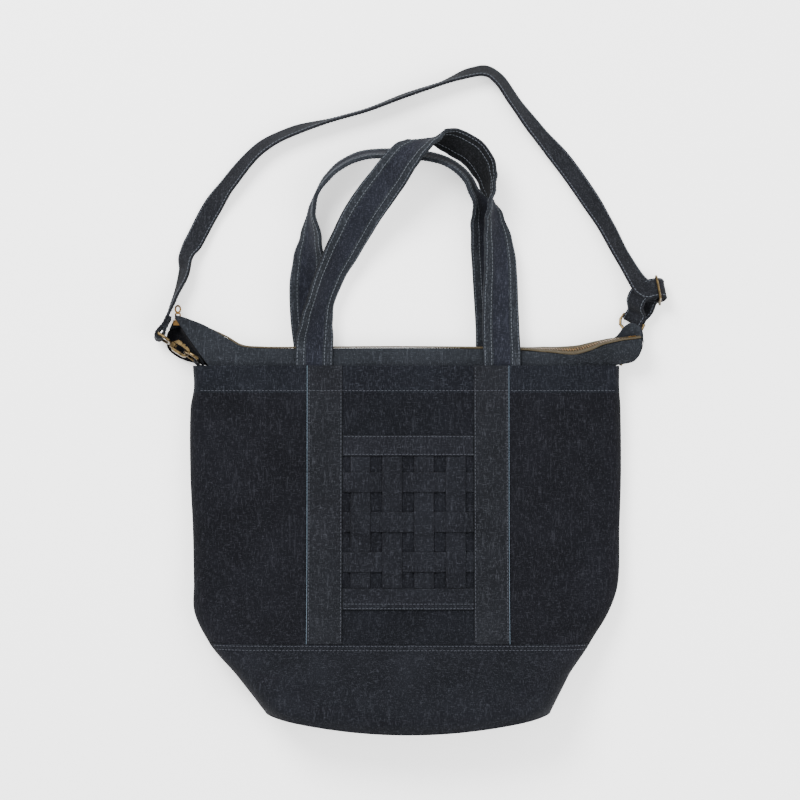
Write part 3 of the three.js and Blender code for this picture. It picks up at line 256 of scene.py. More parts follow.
def mesh_object(name, points, faces, materials, tints=None, sharp=50):
    """A piece from points in millimetres from the rim's middle."""
    mesh = bpy.data.meshes.new(name)
    mesh.from_pydata([(p + ORIGIN) * MM for p in points], [], faces)
    for material in materials:
        mesh.materials.append(material)
    if tints:
        mesh.polygons.foreach_set("material_index", tints)
    mesh.validate()
    mesh.update()
    mesh.shade_smooth()
    mesh.set_sharp_from_angle(angle=math.radians(sharp))
    return link(mesh, name)


def outward(points, faces):
    volume = sum(points[f[0]].dot(points[f[1]].cross(points[f[2]])) for f in faces)
    volume += sum(points[f[0]].dot(points[f[2]].cross(points[f[3]])) for f in faces if len(f) == 4)
    return faces if volume > 0 else [tuple(reversed(f)) for f in faces]


def sheet(name, outer, inner, materials, tint=None):
    """A cloth piece between two grids of points, closed along its edges."""
    rows, columns = len(outer), len(outer[0])
    points = [p for row in outer for p in row] + [p for row in inner for p in row]
    half = rows * columns
    faces, tints = [], []

    def quad(a, b, c, d, row, column):
        faces.append((a, b, c, d))
        tints.append(tint(row, column) if tint else 0)

    for row in range(rows - 1):
        for column in range(columns - 1):
            a = row * columns + column
            quad(a, a + columns, a + columns + 1, a + 1, row, column)
            quad(half + a, half + a + 1, half + a + columns + 1, half + a + columns, row, column)
    for row in range(rows - 1):
        a, last = row * columns, row * columns + columns - 1
        quad(a, half + a, half + a + columns, a + columns, row, 0)
        quad(last, last + columns, half + last + columns, half + last, row, columns - 2)
    for column in range(columns - 1):
        a, last = column, (rows - 1) * columns + column
        quad(a, a + 1, half + a + 1, half + a, 0, column)
        quad(last, half + last, half + last + 1, last + 1, rows - 2, column)
    return mesh_object(name, points, outward(points, faces), materials, tints)


def loft(count, rings):
    """Faces between neighbouring rings of count points each."""
    faces = []
    for row in range(rings - 1):
        for index in range(count):
            side = (index + 1) % count
            faces.append((row * count + index, (row + 1) * count + index,
                          (row + 1) * count + side, row * count + side))
    return faces


def rings_object(name, rings, materials, tint=None, sharp=50):
    """A piece lofted through rings of points and closed at both ends."""
    count = len(rings[0])
    points = [p for ring in rings for p in ring]
    faces = outward(points, loft(count, len(rings)))
    tints = [tint(index) if tint else 0 for _ in rings[1:] for index in range(count)]
    first, last = list(range(count)), list(range((len(rings) - 1) * count, len(rings) * count))
    turned = faces[0][0] == 0 and faces[0][1] == count
    faces.append(tuple(first if turned else reversed(first)))
    faces.append(tuple(reversed(last) if turned else last))
    return mesh_object(name, points, faces, materials, tints + [0, 0], sharp)


# Materials.
def linear(value):
    value /= 255
    return value / 12.92 if value <= 0.04045 else ((value + 0.055) / 1.055) ** 2.4


def colour(red, green, blue):
    return (linear(red), linear(green), linear(blue), 1)


def new_material(name):
    material = bpy.data.materials.new(name)
    material.use_nodes = True
    nodes, links = material.node_tree.nodes, material.node_tree.links
    return material, nodes, links, nodes["Principled BSDF"]


def object_place(nodes):
    return nodes.new("ShaderNodeTexCoord").outputs["Object"]


def noise_node(nodes, links, place, scale, detail, stretch=(1, 1, 1)):
    mapping = nodes.new("ShaderNodeMapping")
    mapping.inputs["Scale"].default_value = stretch
    links.new(place, mapping.inputs["Vector"])
    texture = nodes.new("ShaderNodeTexNoise")
    texture.inputs["Scale"].default_value = scale
    texture.inputs["Detail"].default_value = detail
    links.new(mapping.outputs["Vector"], texture.inputs["Vector"])
    return texture.outputs["Fac"]


def ramp_node(nodes, links, source, stops):
    ramp = nodes.new("ShaderNodeValToRGB")
    elements = ramp.color_ramp.elements
    while len(elements) < len(stops):
        elements.new(0.5)
    for element, (at, value) in zip(elements, stops):
        element.position = at
        element.color = value if isinstance(value, tuple) else (value, value, value, 1)
    links.new(source, ramp.inputs["Fac"])
    return ramp.outputs["Color"]


def mix_node(nodes, links, factor, a, b, kind="MIX"):
    node = nodes.new("ShaderNodeMix")
    node.data_type = "RGBA"
    node.blend_type = kind
    for socket, value in ((node.inputs["Factor"], factor), (node.inputs["A"], a), (node.inputs["B"], b)):
        if isinstance(value, (tuple, float, int)):
            socket.default_value = value
        else:
            links.new(value, socket)
    return node.outputs["Result"]


def wave_node(nodes, links, place, direction, scale, distortion, detail):
    wave = nodes.new("ShaderNodeTexWave")
    wave.bands_direction = direction
    for name, value in (("Scale", scale), ("Distortion", distortion), ("Detail", detail)):
        wave.inputs[name].default_value = value
    links.new(place, wave.inputs["Vector"])
    return wave.outputs["Fac"]


def bump_node(nodes, links, height, strength, distance, normal=None):
    bump = nodes.new("ShaderNodeBump")
    bump.inputs["Strength"].default_value = strength
    bump.inputs["Distance"].default_value = distance
    links.new(height, bump.inputs["Height"])
    if normal is not None:
        links.new(normal, bump.inputs["Normal"])
    return bump.outputs["Normal"]


def set_gloss(shader, roughness, specular):
    shader.inputs["Roughness"].default_value = roughness
    shader.inputs["Specular IOR Level"].default_value = specular


# How much of a denim's seen colour is its own, under the studio's light.
DENIM_GAIN = 0.235

# The pale thread's colour against the ground's, and the clouds' shades, places and share.
PALE_GAIN, PALE_BASE = 4.4, 0.008
CLOUD_DARK, CLOUD_PALE = 0.5, 1.5
CLOUD_STOPS = (0.3, 0.55, 0.8)
CLOUD_SHARE = 0.55

# Noise and wave scales, in features per metre.
CLOUD_SCALE = 26
TWILL_SCALE = 330
RIB_GRAIN_SCALE = 900
TARNISH_SCALE = 260
THREAD_SCALE = 700

# Specks of thread: their scale, how they are drawn out and the noise value where they begin.
WARP_SPECKS = (1500, (1, 0.16, 1), 0.55)
WEFT_SPECKS = (1300, (0.2, 1, 1), 0.57)
SLUB_SPECKS = (420, (1, 0.12, 1), 0.58)
SPECK_EDGE = 0.17
SLUB_SHARE = 0.5

# Relief: strength, and height in metres.
SPECK_RELIEF = (0.5, 0.0004)
TWILL_RELIEF = (0.35, 0.0002)
RIB_RELIEF = (0.4, 0.0003)


def denim(name, base, speckle=0.5):
    """Raw denim: dark indigo ground, pale weft specks in short runs, soft cloudy shade and a fine twill."""
    material, nodes, links, shader = new_material(name)
    place = object_place(nodes)
    own = [linear(value) * DENIM_GAIN for value in base]
    ground = (*own, 1)
    light = (*[value * PALE_GAIN + PALE_BASE for value in own], 1)
    dark = (*[value * CLOUD_DARK for value in own], 1)
    pale = (*[value * CLOUD_PALE for value in own], 1)
    cloud = noise_node(nodes, links, place, CLOUD_SCALE, 4)
    shade = ramp_node(nodes, links, cloud, list(zip(CLOUD_STOPS, (dark, ground, pale))))
    body = mix_node(nodes, links, CLOUD_SHARE, ground, shade)

    def specks_of(scale, stretch, start):
        fine = noise_node(nodes, links, place, scale, 2, stretch)
        return ramp_node(nodes, links, fine, [(start, 0.0), (start + SPECK_EDGE, 1.0)])

    specks = mix_node(nodes, links, 1.0, specks_of(*WARP_SPECKS), specks_of(*WEFT_SPECKS), "ADD")
    specks = mix_node(nodes, links, SLUB_SHARE, specks, specks_of(*SLUB_SPECKS), "ADD")
    factor = nodes.new("ShaderNodeMath")
    factor.operation = "MULTIPLY"
    factor.inputs[1].default_value = speckle
    links.new(specks, factor.inputs[0])
    links.new(mix_node(nodes, links, factor.outputs[0], body, light), shader.inputs["Base Color"])
    set_gloss(shader, 0.93, 0.04)
    shader.inputs["Sheen Weight"].default_value = 0.015
    shader.inputs["Sheen Roughness"].default_value = 0.6
    relief = bump_node(nodes, links, specks, *SPECK_RELIEF)
    twill = wave_node(nodes, links, place, "DIAGONAL", TWILL_SCALE, 1.5, 1)
    links.new(bump_node(nodes, links, twill, *TWILL_RELIEF, relief), shader.inputs["Normal"])
    return material


def woven(name, base, other, scale):
    """A fine ribbed tape in two shades."""
    material, nodes, links, shader = new_material(name)
    place = object_place(nodes)
    ribs = wave_node(nodes, links, place, "X", scale, 0.8, 2)
    grain = noise_node(nodes, links, place, RIB_GRAIN_SCALE, 3)
    shade = mix_node(nodes, links, ribs, colour(*base), colour(*other))
    blend = ramp_node(nodes, links, grain, [(0.4, 0.0), (0.7, 0.5)])
    links.new(mix_node(nodes, links, blend, shade, colour(*base)), shader.inputs["Base Color"])
    set_gloss(shader, 0.85, 0.2)
    links.new(bump_node(nodes, links, ribs, *RIB_RELIEF), shader.inputs["Normal"])
    return material


def metal(name, base, tarnish, roughness, amount):
    """Brass with darker tarnish in clouds and a slightly uneven gloss."""
    material, nodes, links, shader = new_material(name)
    cloud = noise_node(nodes, links, object_place(nodes), TARNISH_SCALE, 4)
    mask = ramp_node(nodes, links, cloud, [(0.5 - amount / 2, 0.0), (0.75, 1.0)])
    links.new(mix_node(nodes, links, mask, colour(*base), colour(*tarnish)), shader.inputs["Base Color"])
    shader.inputs["Metallic"].default_value = 1
    gloss = ramp_node(nodes, links, cloud, [(0.2, roughness), (0.8, roughness + 0.2)])
    links.new(gloss, shader.inputs["Roughness"])
    return material


def plain(name, base, roughness):
    """A thread: one colour with a slightly lighter grain."""
    material, nodes, links, shader = new_material(name)
    grain = noise_node(nodes, links, object_place(nodes), THREAD_SCALE, 2)
    lighter = colour(*[min(255, value * 1.15 + 4) for value in base])
    links.new(mix_node(nodes, links, grain, colour(*base), lighter), shader.inputs["Base Color"])
    set_gloss(shader, roughness, 0.2)
    return material


SIDE_DENIM = denim("side_denim", (35, 36, 43))
CENTRE_DENIM = denim("centre_denim", (35, 37, 44))
BAND_DENIM = denim("band_denim", (46, 48, 54))
STRIP_DENIM = denim("strip_denim", (43, 45, 52))
BASE_DENIM = denim("base_denim", (40, 42, 49))
HEM_DENIM = denim("hem_denim", (40, 43, 51))
GUSSET_DENIM = denim("gusset_denim", (60, 64, 71), 0.4)
HANDLE_EDGE = denim("handle_edge_denim", (60, 64, 71))
HANDLE_MIDDLE = denim("handle_middle_denim", (52, 55, 66))
# The handles' inside faces are one cloth in two copies: the front handle's darker one is painted shade, the
# back handle's lighter one is painted light.
HANDLE_INSIDE_SHADED = denim("handle_inside_shaded_denim", (37, 39, 43))
BACK_INSIDE_LIT = denim("back_handle_inside_lit_denim", (60, 65, 73))
STRAP_DENIM = denim("strap_denim", (46, 48, 54))
DARK_DENIM = denim("shadow_denim", (28, 29, 34), 0.25)
SELVEDGE = woven("selvedge", (104, 120, 132), (44, 56, 70), 330)
TAPE = woven("zip_tape_weave", (54, 47, 34), (68, 60, 44), 1300)
THREAD_DARK = plain("thread_indigo", (44, 46, 52), 0.7)
THREAD_PALE = plain("thread_pale", (62, 66, 72), 0.7)
# The brass colours are darker than clean brass: partly the fittings' own antique tone, partly painted shade
# standing in for the dark reflections they show.
BRASS = metal("zip_brass_metal", (124, 94, 54), (54, 40, 24), 0.26, 0.5)
ANTIQUE = metal("antique_brass_metal", (112, 94, 62), (28, 24, 19), 0.3, 0.6)


# The body's skin.
def dent_depth(x, down):
    depth = 0.0
    for dent in DENTS:
        a = x - dent["across"] * BODY_WIDTH
        b = (down - dent["down"]) * BODY_LENGTH
        turn = math.radians(dent["turn"])
        p = (a * math.cos(turn) + b * math.sin(turn)) / (dent["wide"] * BODY_WIDTH)
        q = (b * math.cos(turn) - a * math.sin(turn)) / (dent["long"] * BODY_LENGTH)
        depth += dent["depth"] * BASE_DEPTH * math.exp(-p * p - q * q)
    return depth


# Long soft creases of the front: both ends as shares of the body, their width in millimetres and
# their depth, which is negative for a fold that stands up.
CREASES = rows_of("from to wide deep", [
    ((0.36, 0.17), (0.47, 0.27), 5, 0.9),
    ((0.33, 0.22), (0.48, 0.34), 6, 1.1),
    ((0.37, 0.3), (0.49, 0.39), 5, 0.8),
    ((0.28, 0.15), (0.4, 0.2), 7, -0.7),
    ((0.42, 0.47), (0.3, 0.66), 9, 1.0),
    ((-0.5, 0.1), (-0.4, 0.17), 6, 0.9),
    ((-0.49, 0.19), (-0.36, 0.25), 7, 0.6),
    ((-0.48, 0.56), (-0.33, 0.7), 8, 1.0),
    ((-0.44, 0.48), (-0.27, 0.6), 9, 0.7),
    ((-0.29, 0.88), (-0.2, 0.98), 6, 1.3),
    ((-0.22, 0.86), (-0.1, 0.97), 7, -0.8),
    ((0.2, 0.86), (0.3, 0.95), 7, 1.0),
    ((0.1, 0.84), (0.16, 0.98), 8, -0.6),
    ((-0.4, 0.8), (-0.28, 0.84), 6, 0.8),
])


# How far a crease reaches, in widths, and the share of its length where it starts to fade.
CREASE_REACH = 3
CREASE_END = 0.08


def crease_depth(x, down):
    depth = 0.0
    here = Vector((x, down * BODY_LENGTH))
    for crease in CREASES:
        start = Vector((crease["from"][0] * BODY_WIDTH, crease["from"][1] * BODY_LENGTH))
        end = Vector((crease["to"][0] * BODY_WIDTH, crease["to"][1] * BODY_LENGTH))
        run = end - start
        share = clamp((here - start).dot(run) / run.length_squared)
        away = (here - start - run * share).length / crease["wide"]
        if away < CREASE_REACH:
            fade = math.sin(math.pi * clamp(share, CREASE_END, 1 - CREASE_END)) ** 0.5
            depth += crease["deep"] * math.exp(-away * away) * fade
    return depth


# The cloth's long and short unevenness: sizes and heights in millimetres, and the noise's layer.
LONG_RIPPLE = (38, 0.7)
SHORT_RIPPLE = (14, 0.25)
SHORT_SHIFT = 50
RIPPLE_LAYER = 3.1

# The part of a half turn that goes round the body's side.
CORNER_TURN = 0.3


def ripple(x, y, size, height):
    return height * noise.noise(Vector((x / size, y / size, RIPPLE_LAYER)))


def cloth_ripple(x, y):
    return ripple(x, y, *LONG_RIPPLE) + ripple(x + SHORT_SHIFT, y, *SHORT_RIPPLE)


def skin(down, turn, side, inset):
    """A point of the body's skin: side 1 is the front, turn runs from side seam to side seam."""
    left = read(SECTIONS, "left", down) * BODY_WIDTH - inset
    right = read(SECTIONS, "right", down) * BODY_WIDTH - inset
    depth = read(SECTIONS, "depth", down) * BASE_DEPTH
    corner = read(SECTIONS, "corner", down)
    crown = read(SECTIONS, "crown", down) * (depth - inset)
    arc = clamp((abs(turn) - 1 + CORNER_TURN) / CORNER_TURN) * math.pi / 2
    flat = min(abs(turn) / (1 - CORNER_TURN), 1) * (1 - corner)
    share = math.copysign(1 - corner + corner * math.sin(arc) if arc > 0 else flat, turn)
    x = share * (left if share < 0 else right)
    ramp = smooth(clamp((down - BASE_SEAM) / (1 - BASE_SEAM)))
    y = -BODY_LENGTH * (down - BOTTOM_BOW * ramp * share * share)
    middle = depth / 2 + side * SEAM_GAP / 2
    top = depth - inset - crown
    shape = math.cos(arc)
    if side > 0:
        z = middle + (top - middle) * shape + crown * (1 - share * share)
        z -= (dent_depth(x, down) + crease_depth(x, down)) * shape
        z += cloth_ripple(x, y) * shape
    else:
        z = middle - (middle - inset) * shape
    return Vector((x, y, z))


def front_height(x, y):
    """Height of the front's outer cloth over a place above the base seam."""
    down = -y / BODY_LENGTH
    half = read(SECTIONS, "left" if x < 0 else "right", down) * BODY_WIDTH
    share = x / half
    depth = read(SECTIONS, "depth", down) * BASE_DEPTH
    crown = read(SECTIONS, "crown", down) * depth
    height = depth - crown + crown * (1 - share * share)
    return height - dent_depth(x, down) - crease_depth(x, down) + cloth_ripple(x, y)


def evenly(start, end, count):
    return [mix(start, end, index / (count - 1)) for index in range(count)]


def turn_steps(flat, corner):
    """Turns from side seam to side seam, with a step count for the flat and one for each side."""
    end = 1 - CORNER_TURN
    return evenly(-1, -end, corner)[:-1] + evenly(-end, end, flat) + evenly(end, 1, corner)[1:]


def groove(away, deep, wide):
    """How deep a row of stitches draws the cloth in, at a distance from it."""
    return deep * math.exp(-((away / wide) ** 2))


FINE_TURNS = turn_steps(121, 15)
COARSE_TURNS = turn_steps(41, 9)
BASE_TURNS = turn_steps(81, 15)
SEAM_HALF = SEAM_GAP / 2 / BODY_LENGTH

# The folded hem: its step, where that falls away beyond the stitches, the stitches' groove and
# the share of the half turn over which the step runs out at the side seams.
HEM_STEP = 0.55
HEM_FALL = (1.2, 2.6)
HEM_GROOVE = (0.35, 0.9)
HEM_RUNOUT = 0.12


def hem_lift(down):
    """The folded hem stands over the cloth and dips along its stitching."""
    y = down * BODY_LENGTH
    lift = HEM_STEP * (1 - step_up(y, HEM_DEPTH + HEM_FALL[0], HEM_DEPTH + HEM_FALL[1]))
    return lift - groove(y - HEM_DEPTH, *HEM_GROOVE)


def down_of(rows, row):
    return (rows[row] + rows[min(row + 1, len(rows) - 1)]) / 2


def panel(name, side, turns, rows, materials):
    def grid(inset):
        places = []
        for down in rows:
            row = []
            for turn in turns:
                point = skin(down, turn, side, inset)
                if inset == 0 and side > 0:
                    point.z += hem_lift(down) * math.sin(math.pi / 2 * clamp((1 - abs(turn)) / HEM_RUNOUT))
                row.append(point)
            places.append(row)
        return places

    centre_half = BAND_SPACING / 2

    def tint(row, column):
        if down_of(rows, row) * BODY_LENGTH < HEM_DEPTH + 2:
            return 1
        at = skin(down_of(rows, row), turns[min(column, len(turns) - 1)], side, 0).x
        return 2 if abs(at) < centre_half and side > 0 else 0

    return sheet(name, grid(0), grid(CLOTH_WALL), materials, tint)


hem_rows = evenly(0, (HEM_DEPTH + 4) / BODY_LENGTH, 30)
front_rows = hem_rows[:-1] + evenly(hem_rows[-1], BASE_SEAM - SEAM_HALF, 110)
back_rows = evenly(0, BASE_SEAM - SEAM_HALF, 36)
panel_denims = [SIDE_DENIM, HEM_DENIM, CENTRE_DENIM]
front = panel("front_cloth", 1, FINE_TURNS, front_rows, panel_denims)
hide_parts("front_panel")
back = panel("back_cloth", -1, COARSE_TURNS, back_rows, panel_denims)
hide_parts("back_panel")

# The base's seam fold: its step, where that falls away below the seam, and its groove.
BASE_EDGE = 0.9
BASE_FALL = (4, 9)
BASE_GROOVE_PLACE = 3
BASE_GROOVE = (0.3, 0.8)
BASE_FINE = 0.03


def base_ring(down, inset, turns):
    ring = [skin(down, turn, 1, inset) for turn in turns]
    ring += [skin(down, turn, -1, inset) for turn in reversed(turns[1:-1])]
    if inset == 0:
        y = (down - BASE_SEAM) * BODY_LENGTH
        lift = BASE_EDGE * (1 - step_up(y, *BASE_FALL)) - groove(y - BASE_GROOVE_PLACE, *BASE_GROOVE)
        for index in range(1, len(turns) - 1):
            ring[index].z += lift
    return ring


def base_piece():
    turns = BASE_TURNS
    fine_end = BASE_SEAM + BASE_FINE
    rows = evenly(BASE_SEAM + SEAM_HALF, fine_end, 12)[:-1] + evenly(fine_end, 1, 46)
    wall = CLOTH_WALL / BODY_LENGTH
    rings = [base_ring(min(down, 1 - wall), CLOTH_WALL, turns) for down in reversed(rows)]
    rings += [base_ring(down, 0, turns) for down in rows]
    count, last = len(rings[0]), len(turns) - 1
    points = [p for ring in rings for p in ring]
    faces = loft(count, len(rings))

    def across(index):
        return index if index in (0, last) else 2 * last - index

    for start, flip in ((0, False), ((len(rings) - 1) * count, True)):
        for index in range(last):
            corners = [start + index, start + index + 1, start + across(index + 1), start + across(index)]
            corners = list(dict.fromkeys(corners))
            faces.append(tuple(reversed(corners) if flip else corners))
    return mesh_object("base_cloth", points, outward(points, faces), [BASE_DENIM], sharp=60)


base = base_piece()
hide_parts("base_panel")


# Pieces on the front.
PATCH_EDGE = 0.5


def front_patch(name, xs, ys, lift, thickness, materials, tint=None):
    """A flat piece on the front, with its edges rolled over."""
    def grid(outer):
        rows = []
        for y in ys:
            row = []
            for x in xs:
                near = min(x - xs[0], xs[-1] - x, abs(y - ys[0]), abs(y - ys[-1]))
                roll = math.sqrt(clamp(near / PATCH_EDGE))
                height = thickness * (0.45 + 0.55 * roll) if outer else 0
                row.append(Vector((x, y, front_height(x, y) + lift(x, y) + height)))
            rows.append(row)
        return rows

    return sheet(name, grid(True), grid(False), materials, tint)


def edged(start, end, count):
    """Places from start to end with two close ones at both ends."""
    edge = math.copysign(PATCH_EDGE, end - start)
    return [start, start + edge / 4] + evenly(start + edge, end - edge, count) + [end - edge / 4, end]


def plain_lift(x, y):
    """The lift of a piece that lies flat on the front."""
    return CLEARANCE


seam_y = -BODY_LENGTH * BASE_SEAM
SELVEDGE_WIDTH = 1.1

# The fold along a band's inner edge: its width and height; and how far a band follows the hem.
BAND_FOLD = (2.2, 0.25)
HEM_SHARE = 0.7
for side, name in ((-1, "band_left"), (1, "band_right")):
    middle = side * BAND_SPACING / 2
    xs = edged(middle - BAND_WIDTH / 2, middle + BAND_WIDTH / 2, 26)
    ys = edged(0, seam_y, 110)

    def band_lift(x, y, side=side, middle=middle):
        inner = (x - middle) * side < -BAND_WIDTH / 2 + BAND_FOLD[0]
        return CLEARANCE + hem_lift(-y / BODY_LENGTH) * HEM_SHARE + (BAND_FOLD[1] if inner else 0)

    def band_tint(row, column, side=side, middle=middle, xs=xs):
        at = (xs[column] + xs[min(column + 1, len(xs) - 1)]) / 2 - middle
        return 1 if at * side > BAND_WIDTH / 2 - SELVEDGE_WIDTH else 0

    band = front_patch(name + "_cloth", xs, ys, band_lift, BAND_THICKNESS, [BAND_DENIM, SELVEDGE], band_tint)
    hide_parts(name)

LATTICE_HALF = (BAND_SPACING - BAND_WIDTH) / 2 - CLEARANCE
LATTICE_MIDDLE = -RAIL_DROP - RAIL_SPACING / 2
OVER_LIFT = STRIP_THICKNESS + CLEARANCE
COLUMNS, COURSES = 4, 3
column_xs = [(index - (COLUMNS - 1) / 2) * STRIP_PITCH_ACROSS for index in range(COLUMNS)]
course_ys = [LATTICE_MIDDLE + ((COURSES - 1) / 2 - index) * STRIP_PITCH_DOWN for index in range(COURSES)]
for name, y in (("lattice_rail_top", -RAIL_DROP), ("lattice_rail_bottom", -RAIL_DROP - RAIL_SPACING)):
    xs = edged(-LATTICE_HALF, LATTICE_HALF, 60)
    ys = edged(y + RAIL_WIDTH / 2, y - RAIL_WIDTH / 2, 12)
    rail = front_patch(name + "_cloth", xs, ys, plain_lift, BAND_THICKNESS + CLEARANCE, [STRIP_DENIM])
    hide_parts(name)


# Where a strip comes down beside the strip that it crosses, in millimetres from that one's edge.
ARCH_FALL = (0.6, 4.6)


def crosses_over(column, course):
    return (column + course) % 2 == 1


def arch(distance):
    """How far a strip is lifted at a distance from the middle of a crossing."""
    return 1 - step_up(distance, STRIP_WIDTH / 2 + ARCH_FALL[0], STRIP_WIDTH / 2 + ARCH_FALL[1])


for column, x in enumerate(column_xs):
    end = RAIL_SPACING / 2 - RAIL_WIDTH / 2 - CLEARANCE

    def lift(_, y, column=column):
        over = [arch(abs(y - at)) for course, at in enumerate(course_ys) if crosses_over(column, course)]
        return CLEARANCE + OVER_LIFT * max(over)

    xs = edged(x - STRIP_WIDTH / 2, x + STRIP_WIDTH / 2, 12)
    ys = evenly(LATTICE_MIDDLE + end, LATTICE_MIDDLE - end, 80)
    strip = front_patch(f"lattice_strip_v{column + 1}_cloth", xs, ys, lift, STRIP_THICKNESS, [STRIP_DENIM])
    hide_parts(f"lattice_strip_v{column + 1}")

for course, y in enumerate(course_ys):

    def lift(x, _, course=course):
        over = [arch(abs(x - at)) for column, at in enumerate(column_xs) if not crosses_over(column, course)]
        return CLEARANCE + OVER_LIFT * max(over)

    xs = evenly(-LATTICE_HALF, LATTICE_HALF, 90)
    ys = edged(y + STRIP_WIDTH / 2, y - STRIP_WIDTH / 2, 12)
    strip = front_patch(f"lattice_strip_h{course + 1}_cloth", xs, ys, lift, STRIP_THICKNESS, [STRIP_DENIM])
    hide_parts(f"lattice_strip_h{course + 1}")


# A stitch: its sides, its rings as shares of its length and of its radius, and how high its
# middle stands, in radii.
STITCH_SIDES = 6
STITCH_RINGS = ((0.0, 0.35), (0.18, 1.0), (0.82, 1.0), (1.0, 0.35))
STITCH_RISE = 0.35


def walk(frames, first, pitch):
    """Places at an even pitch along frames: each with the way on and the frame before it."""
    distance, due = 0.0, first
    for a, b in zip(frames, frames[1:]):
        step = b[0] - a[0]
        run = step.length
        while run > 0 and due <= distance + run:
            yield a[0].lerp(b[0], (due - distance) / run), step.normalized(), a
            due += pitch
        distance += run


def stitches(name, lines, material):
    """Short rounded stitches laid along lines of places and their outward directions."""
    points, faces = [], []
    sides = STITCH_SIDES
    for line in lines:
        for middle, way, (_, up) in walk(line, STITCH_PITCH / 2, STITCH_PITCH):
            out = (up - way * up.dot(way)).normalized()
            across = way.cross(out)
            base_index = len(points)
            for share, fat in STITCH_RINGS:
                centre = middle + way * (share - 0.5) * STITCH + out * THREAD * STITCH_RISE
                for side in range(sides):
                    angle = 2 * math.pi * side / sides
                    offset = across * math.cos(angle) + out * math.sin(angle)
                    points.append(centre + offset * THREAD * fat)
            last = base_index + (len(STITCH_RINGS) - 1) * sides
            for ring in range(base_index, last, sides):
                for side in range(sides):
                    first, second = ring + side, ring + (side + 1) % sides
                    faces.append((first, second, second + sides, first + sides))
            faces.append(tuple(base_index + side for side in reversed(range(sides))))
            faces.append(tuple(last + side for side in range(sides)))
    obj = mesh_object(name, points, faces, [material], sharp=80)
    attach(obj, "bag")


UP = Vector((0, 0, 1))
LINE_STEPS = 120


def front_line(places, lift):
    return [(Vector((x, y, front_height(x, y) + lift)), UP) for x, y in places]


def down_line(x, start, end, lift):
    return front_line([(x, y) for y in evenly(start, end, LINE_STEPS)], lift)


def across_line(y, start, end, lift, count):
    return front_line([(x, y) for x in evenly(start, end, count)], lift)


# How high the rows of stitches lie, and their insets from the edges they follow.
ON_CLOTH = 0.2
ON_BAND = CLEARANCE + BAND_THICKNESS
BAND_HEM_LIFT = 0.05
BAND_HEM_HALF = 15
BAND_INSETS = (1.3, 1.0)
RAIL_INSETS = (1.6, 1.4, 5.6)
BASE_INSETS = (1.9, 5.6)

band_edges = [side * (BAND_SPACING / 2 + end)
              for side in (-1, 1) for end in (-BAND_WIDTH / 2, BAND_WIDTH / 2)]
hem_half = 0.48 * BODY_WIDTH
hem_spans = [(-hem_half, band_edges[0] - 1), (band_edges[1] + 1, band_edges[2] - 1),
             (band_edges[3] + 1, hem_half)]
hem_lines = [across_line(-HEM_DEPTH, start, end, ON_CLOTH, LINE_STEPS) for start, end in hem_spans]
for side in (-1, 1):
    middle = side * BAND_SPACING / 2
    hem_lines.append(across_line(-HEM_DEPTH, middle - BAND_HEM_HALF, middle + BAND_HEM_HALF,
                                 ON_BAND + BAND_HEM_LIFT, 12))
stitches("hem_stitches", hem_lines, THREAD_DARK)
band_lines = []
for side in (-1, 1):
    inner = side * (BAND_SPACING / 2 - BAND_WIDTH / 2 + BAND_INSETS[0])
    outer = side * (BAND_SPACING / 2 + BAND_WIDTH / 2 - SELVEDGE_WIDTH - BAND_INSETS[1])
    band_lines.append(down_line(inner, -1, seam_y + 1, ON_BAND + BAND_FOLD[1]))
    band_lines.append(down_line(outer, -1, seam_y + 1, ON_BAND))
stitches("band_stitches", band_lines, THREAD_DARK)
rail_top = -RAIL_DROP + RAIL_WIDTH / 2
rail_low = -RAIL_DROP - RAIL_SPACING - RAIL_WIDTH / 2
rail_ys = (rail_top - RAIL_INSETS[0], rail_top - RAIL_WIDTH + RAIL_INSETS[0],
           rail_low + RAIL_INSETS[1], rail_low + RAIL_INSETS[2])
rail_lines = [across_line(y, -LATTICE_HALF + 1, LATTICE_HALF - 1, ON_BAND + CLEARANCE, 80)
              for y in rail_ys]
stitches("rail_stitches", rail_lines, THREAD_DARK)


def seam_line(down, lift, turns):
    return [(skin(down, turn, 1, 0) + UP * lift, UP) for turn in turns]


seam_turns = evenly(-0.9, 0.9, 200)
seam_lines = [seam_line(BASE_SEAM + inset / BODY_LENGTH, BASE_EDGE, seam_turns) for inset in BASE_INSETS]
stitches("base_stitches", seam_lines, THREAD_DARK)


# Straps.
def catmull(points, share):
    """A point of the even curve through points, share running from 0 to 1."""
    place = share * (len(points) - 1)
    index = min(int(place), len(points) - 2)
    weight = place - index
    p1, p2 = points[index], points[index + 1]
    p0 = points[index - 1] if index > 0 else p1 * 2 - p2
    p3 = points[index + 2] if index + 2 < len(points) else p2 * 2 - p1
    near = 1e-4

    def gap(a, b):
        return (b - a).length ** 0.5

    d0, d1, d2 = gap(p0, p1), gap(p1, p2), gap(p2, p3)
    d1 = d1 if d1 > near else 1.0
    d0 = d0 if d0 > near else d1
    d2 = d2 if d2 > near else d1
    m1 = ((p1 - p0) / d0 - (p2 - p0) / (d0 + d1) + (p2 - p1) / d1) * d1
    m2 = ((p2 - p1) / d1 - (p3 - p1) / (d1 + d2) + (p3 - p2) / d2) * d1
    w2, w3 = weight * weight, weight**3
    centre = (p1 * (2 * w3 - 3 * w2 + 1) + m1 * (w3 - 2 * w2 + weight)
              + p2 * (3 * w2 - 2 * w3) + m2 * (w3 - w2))
    tangent = (p1 * (6 * w2 - 6 * weight) + m1 * (3 * w2 - 4 * weight + 1)
               + p2 * (6 * weight - 6 * w2) + m2 * (3 * w2 - 2 * weight))
    return centre, tangent.normalized()


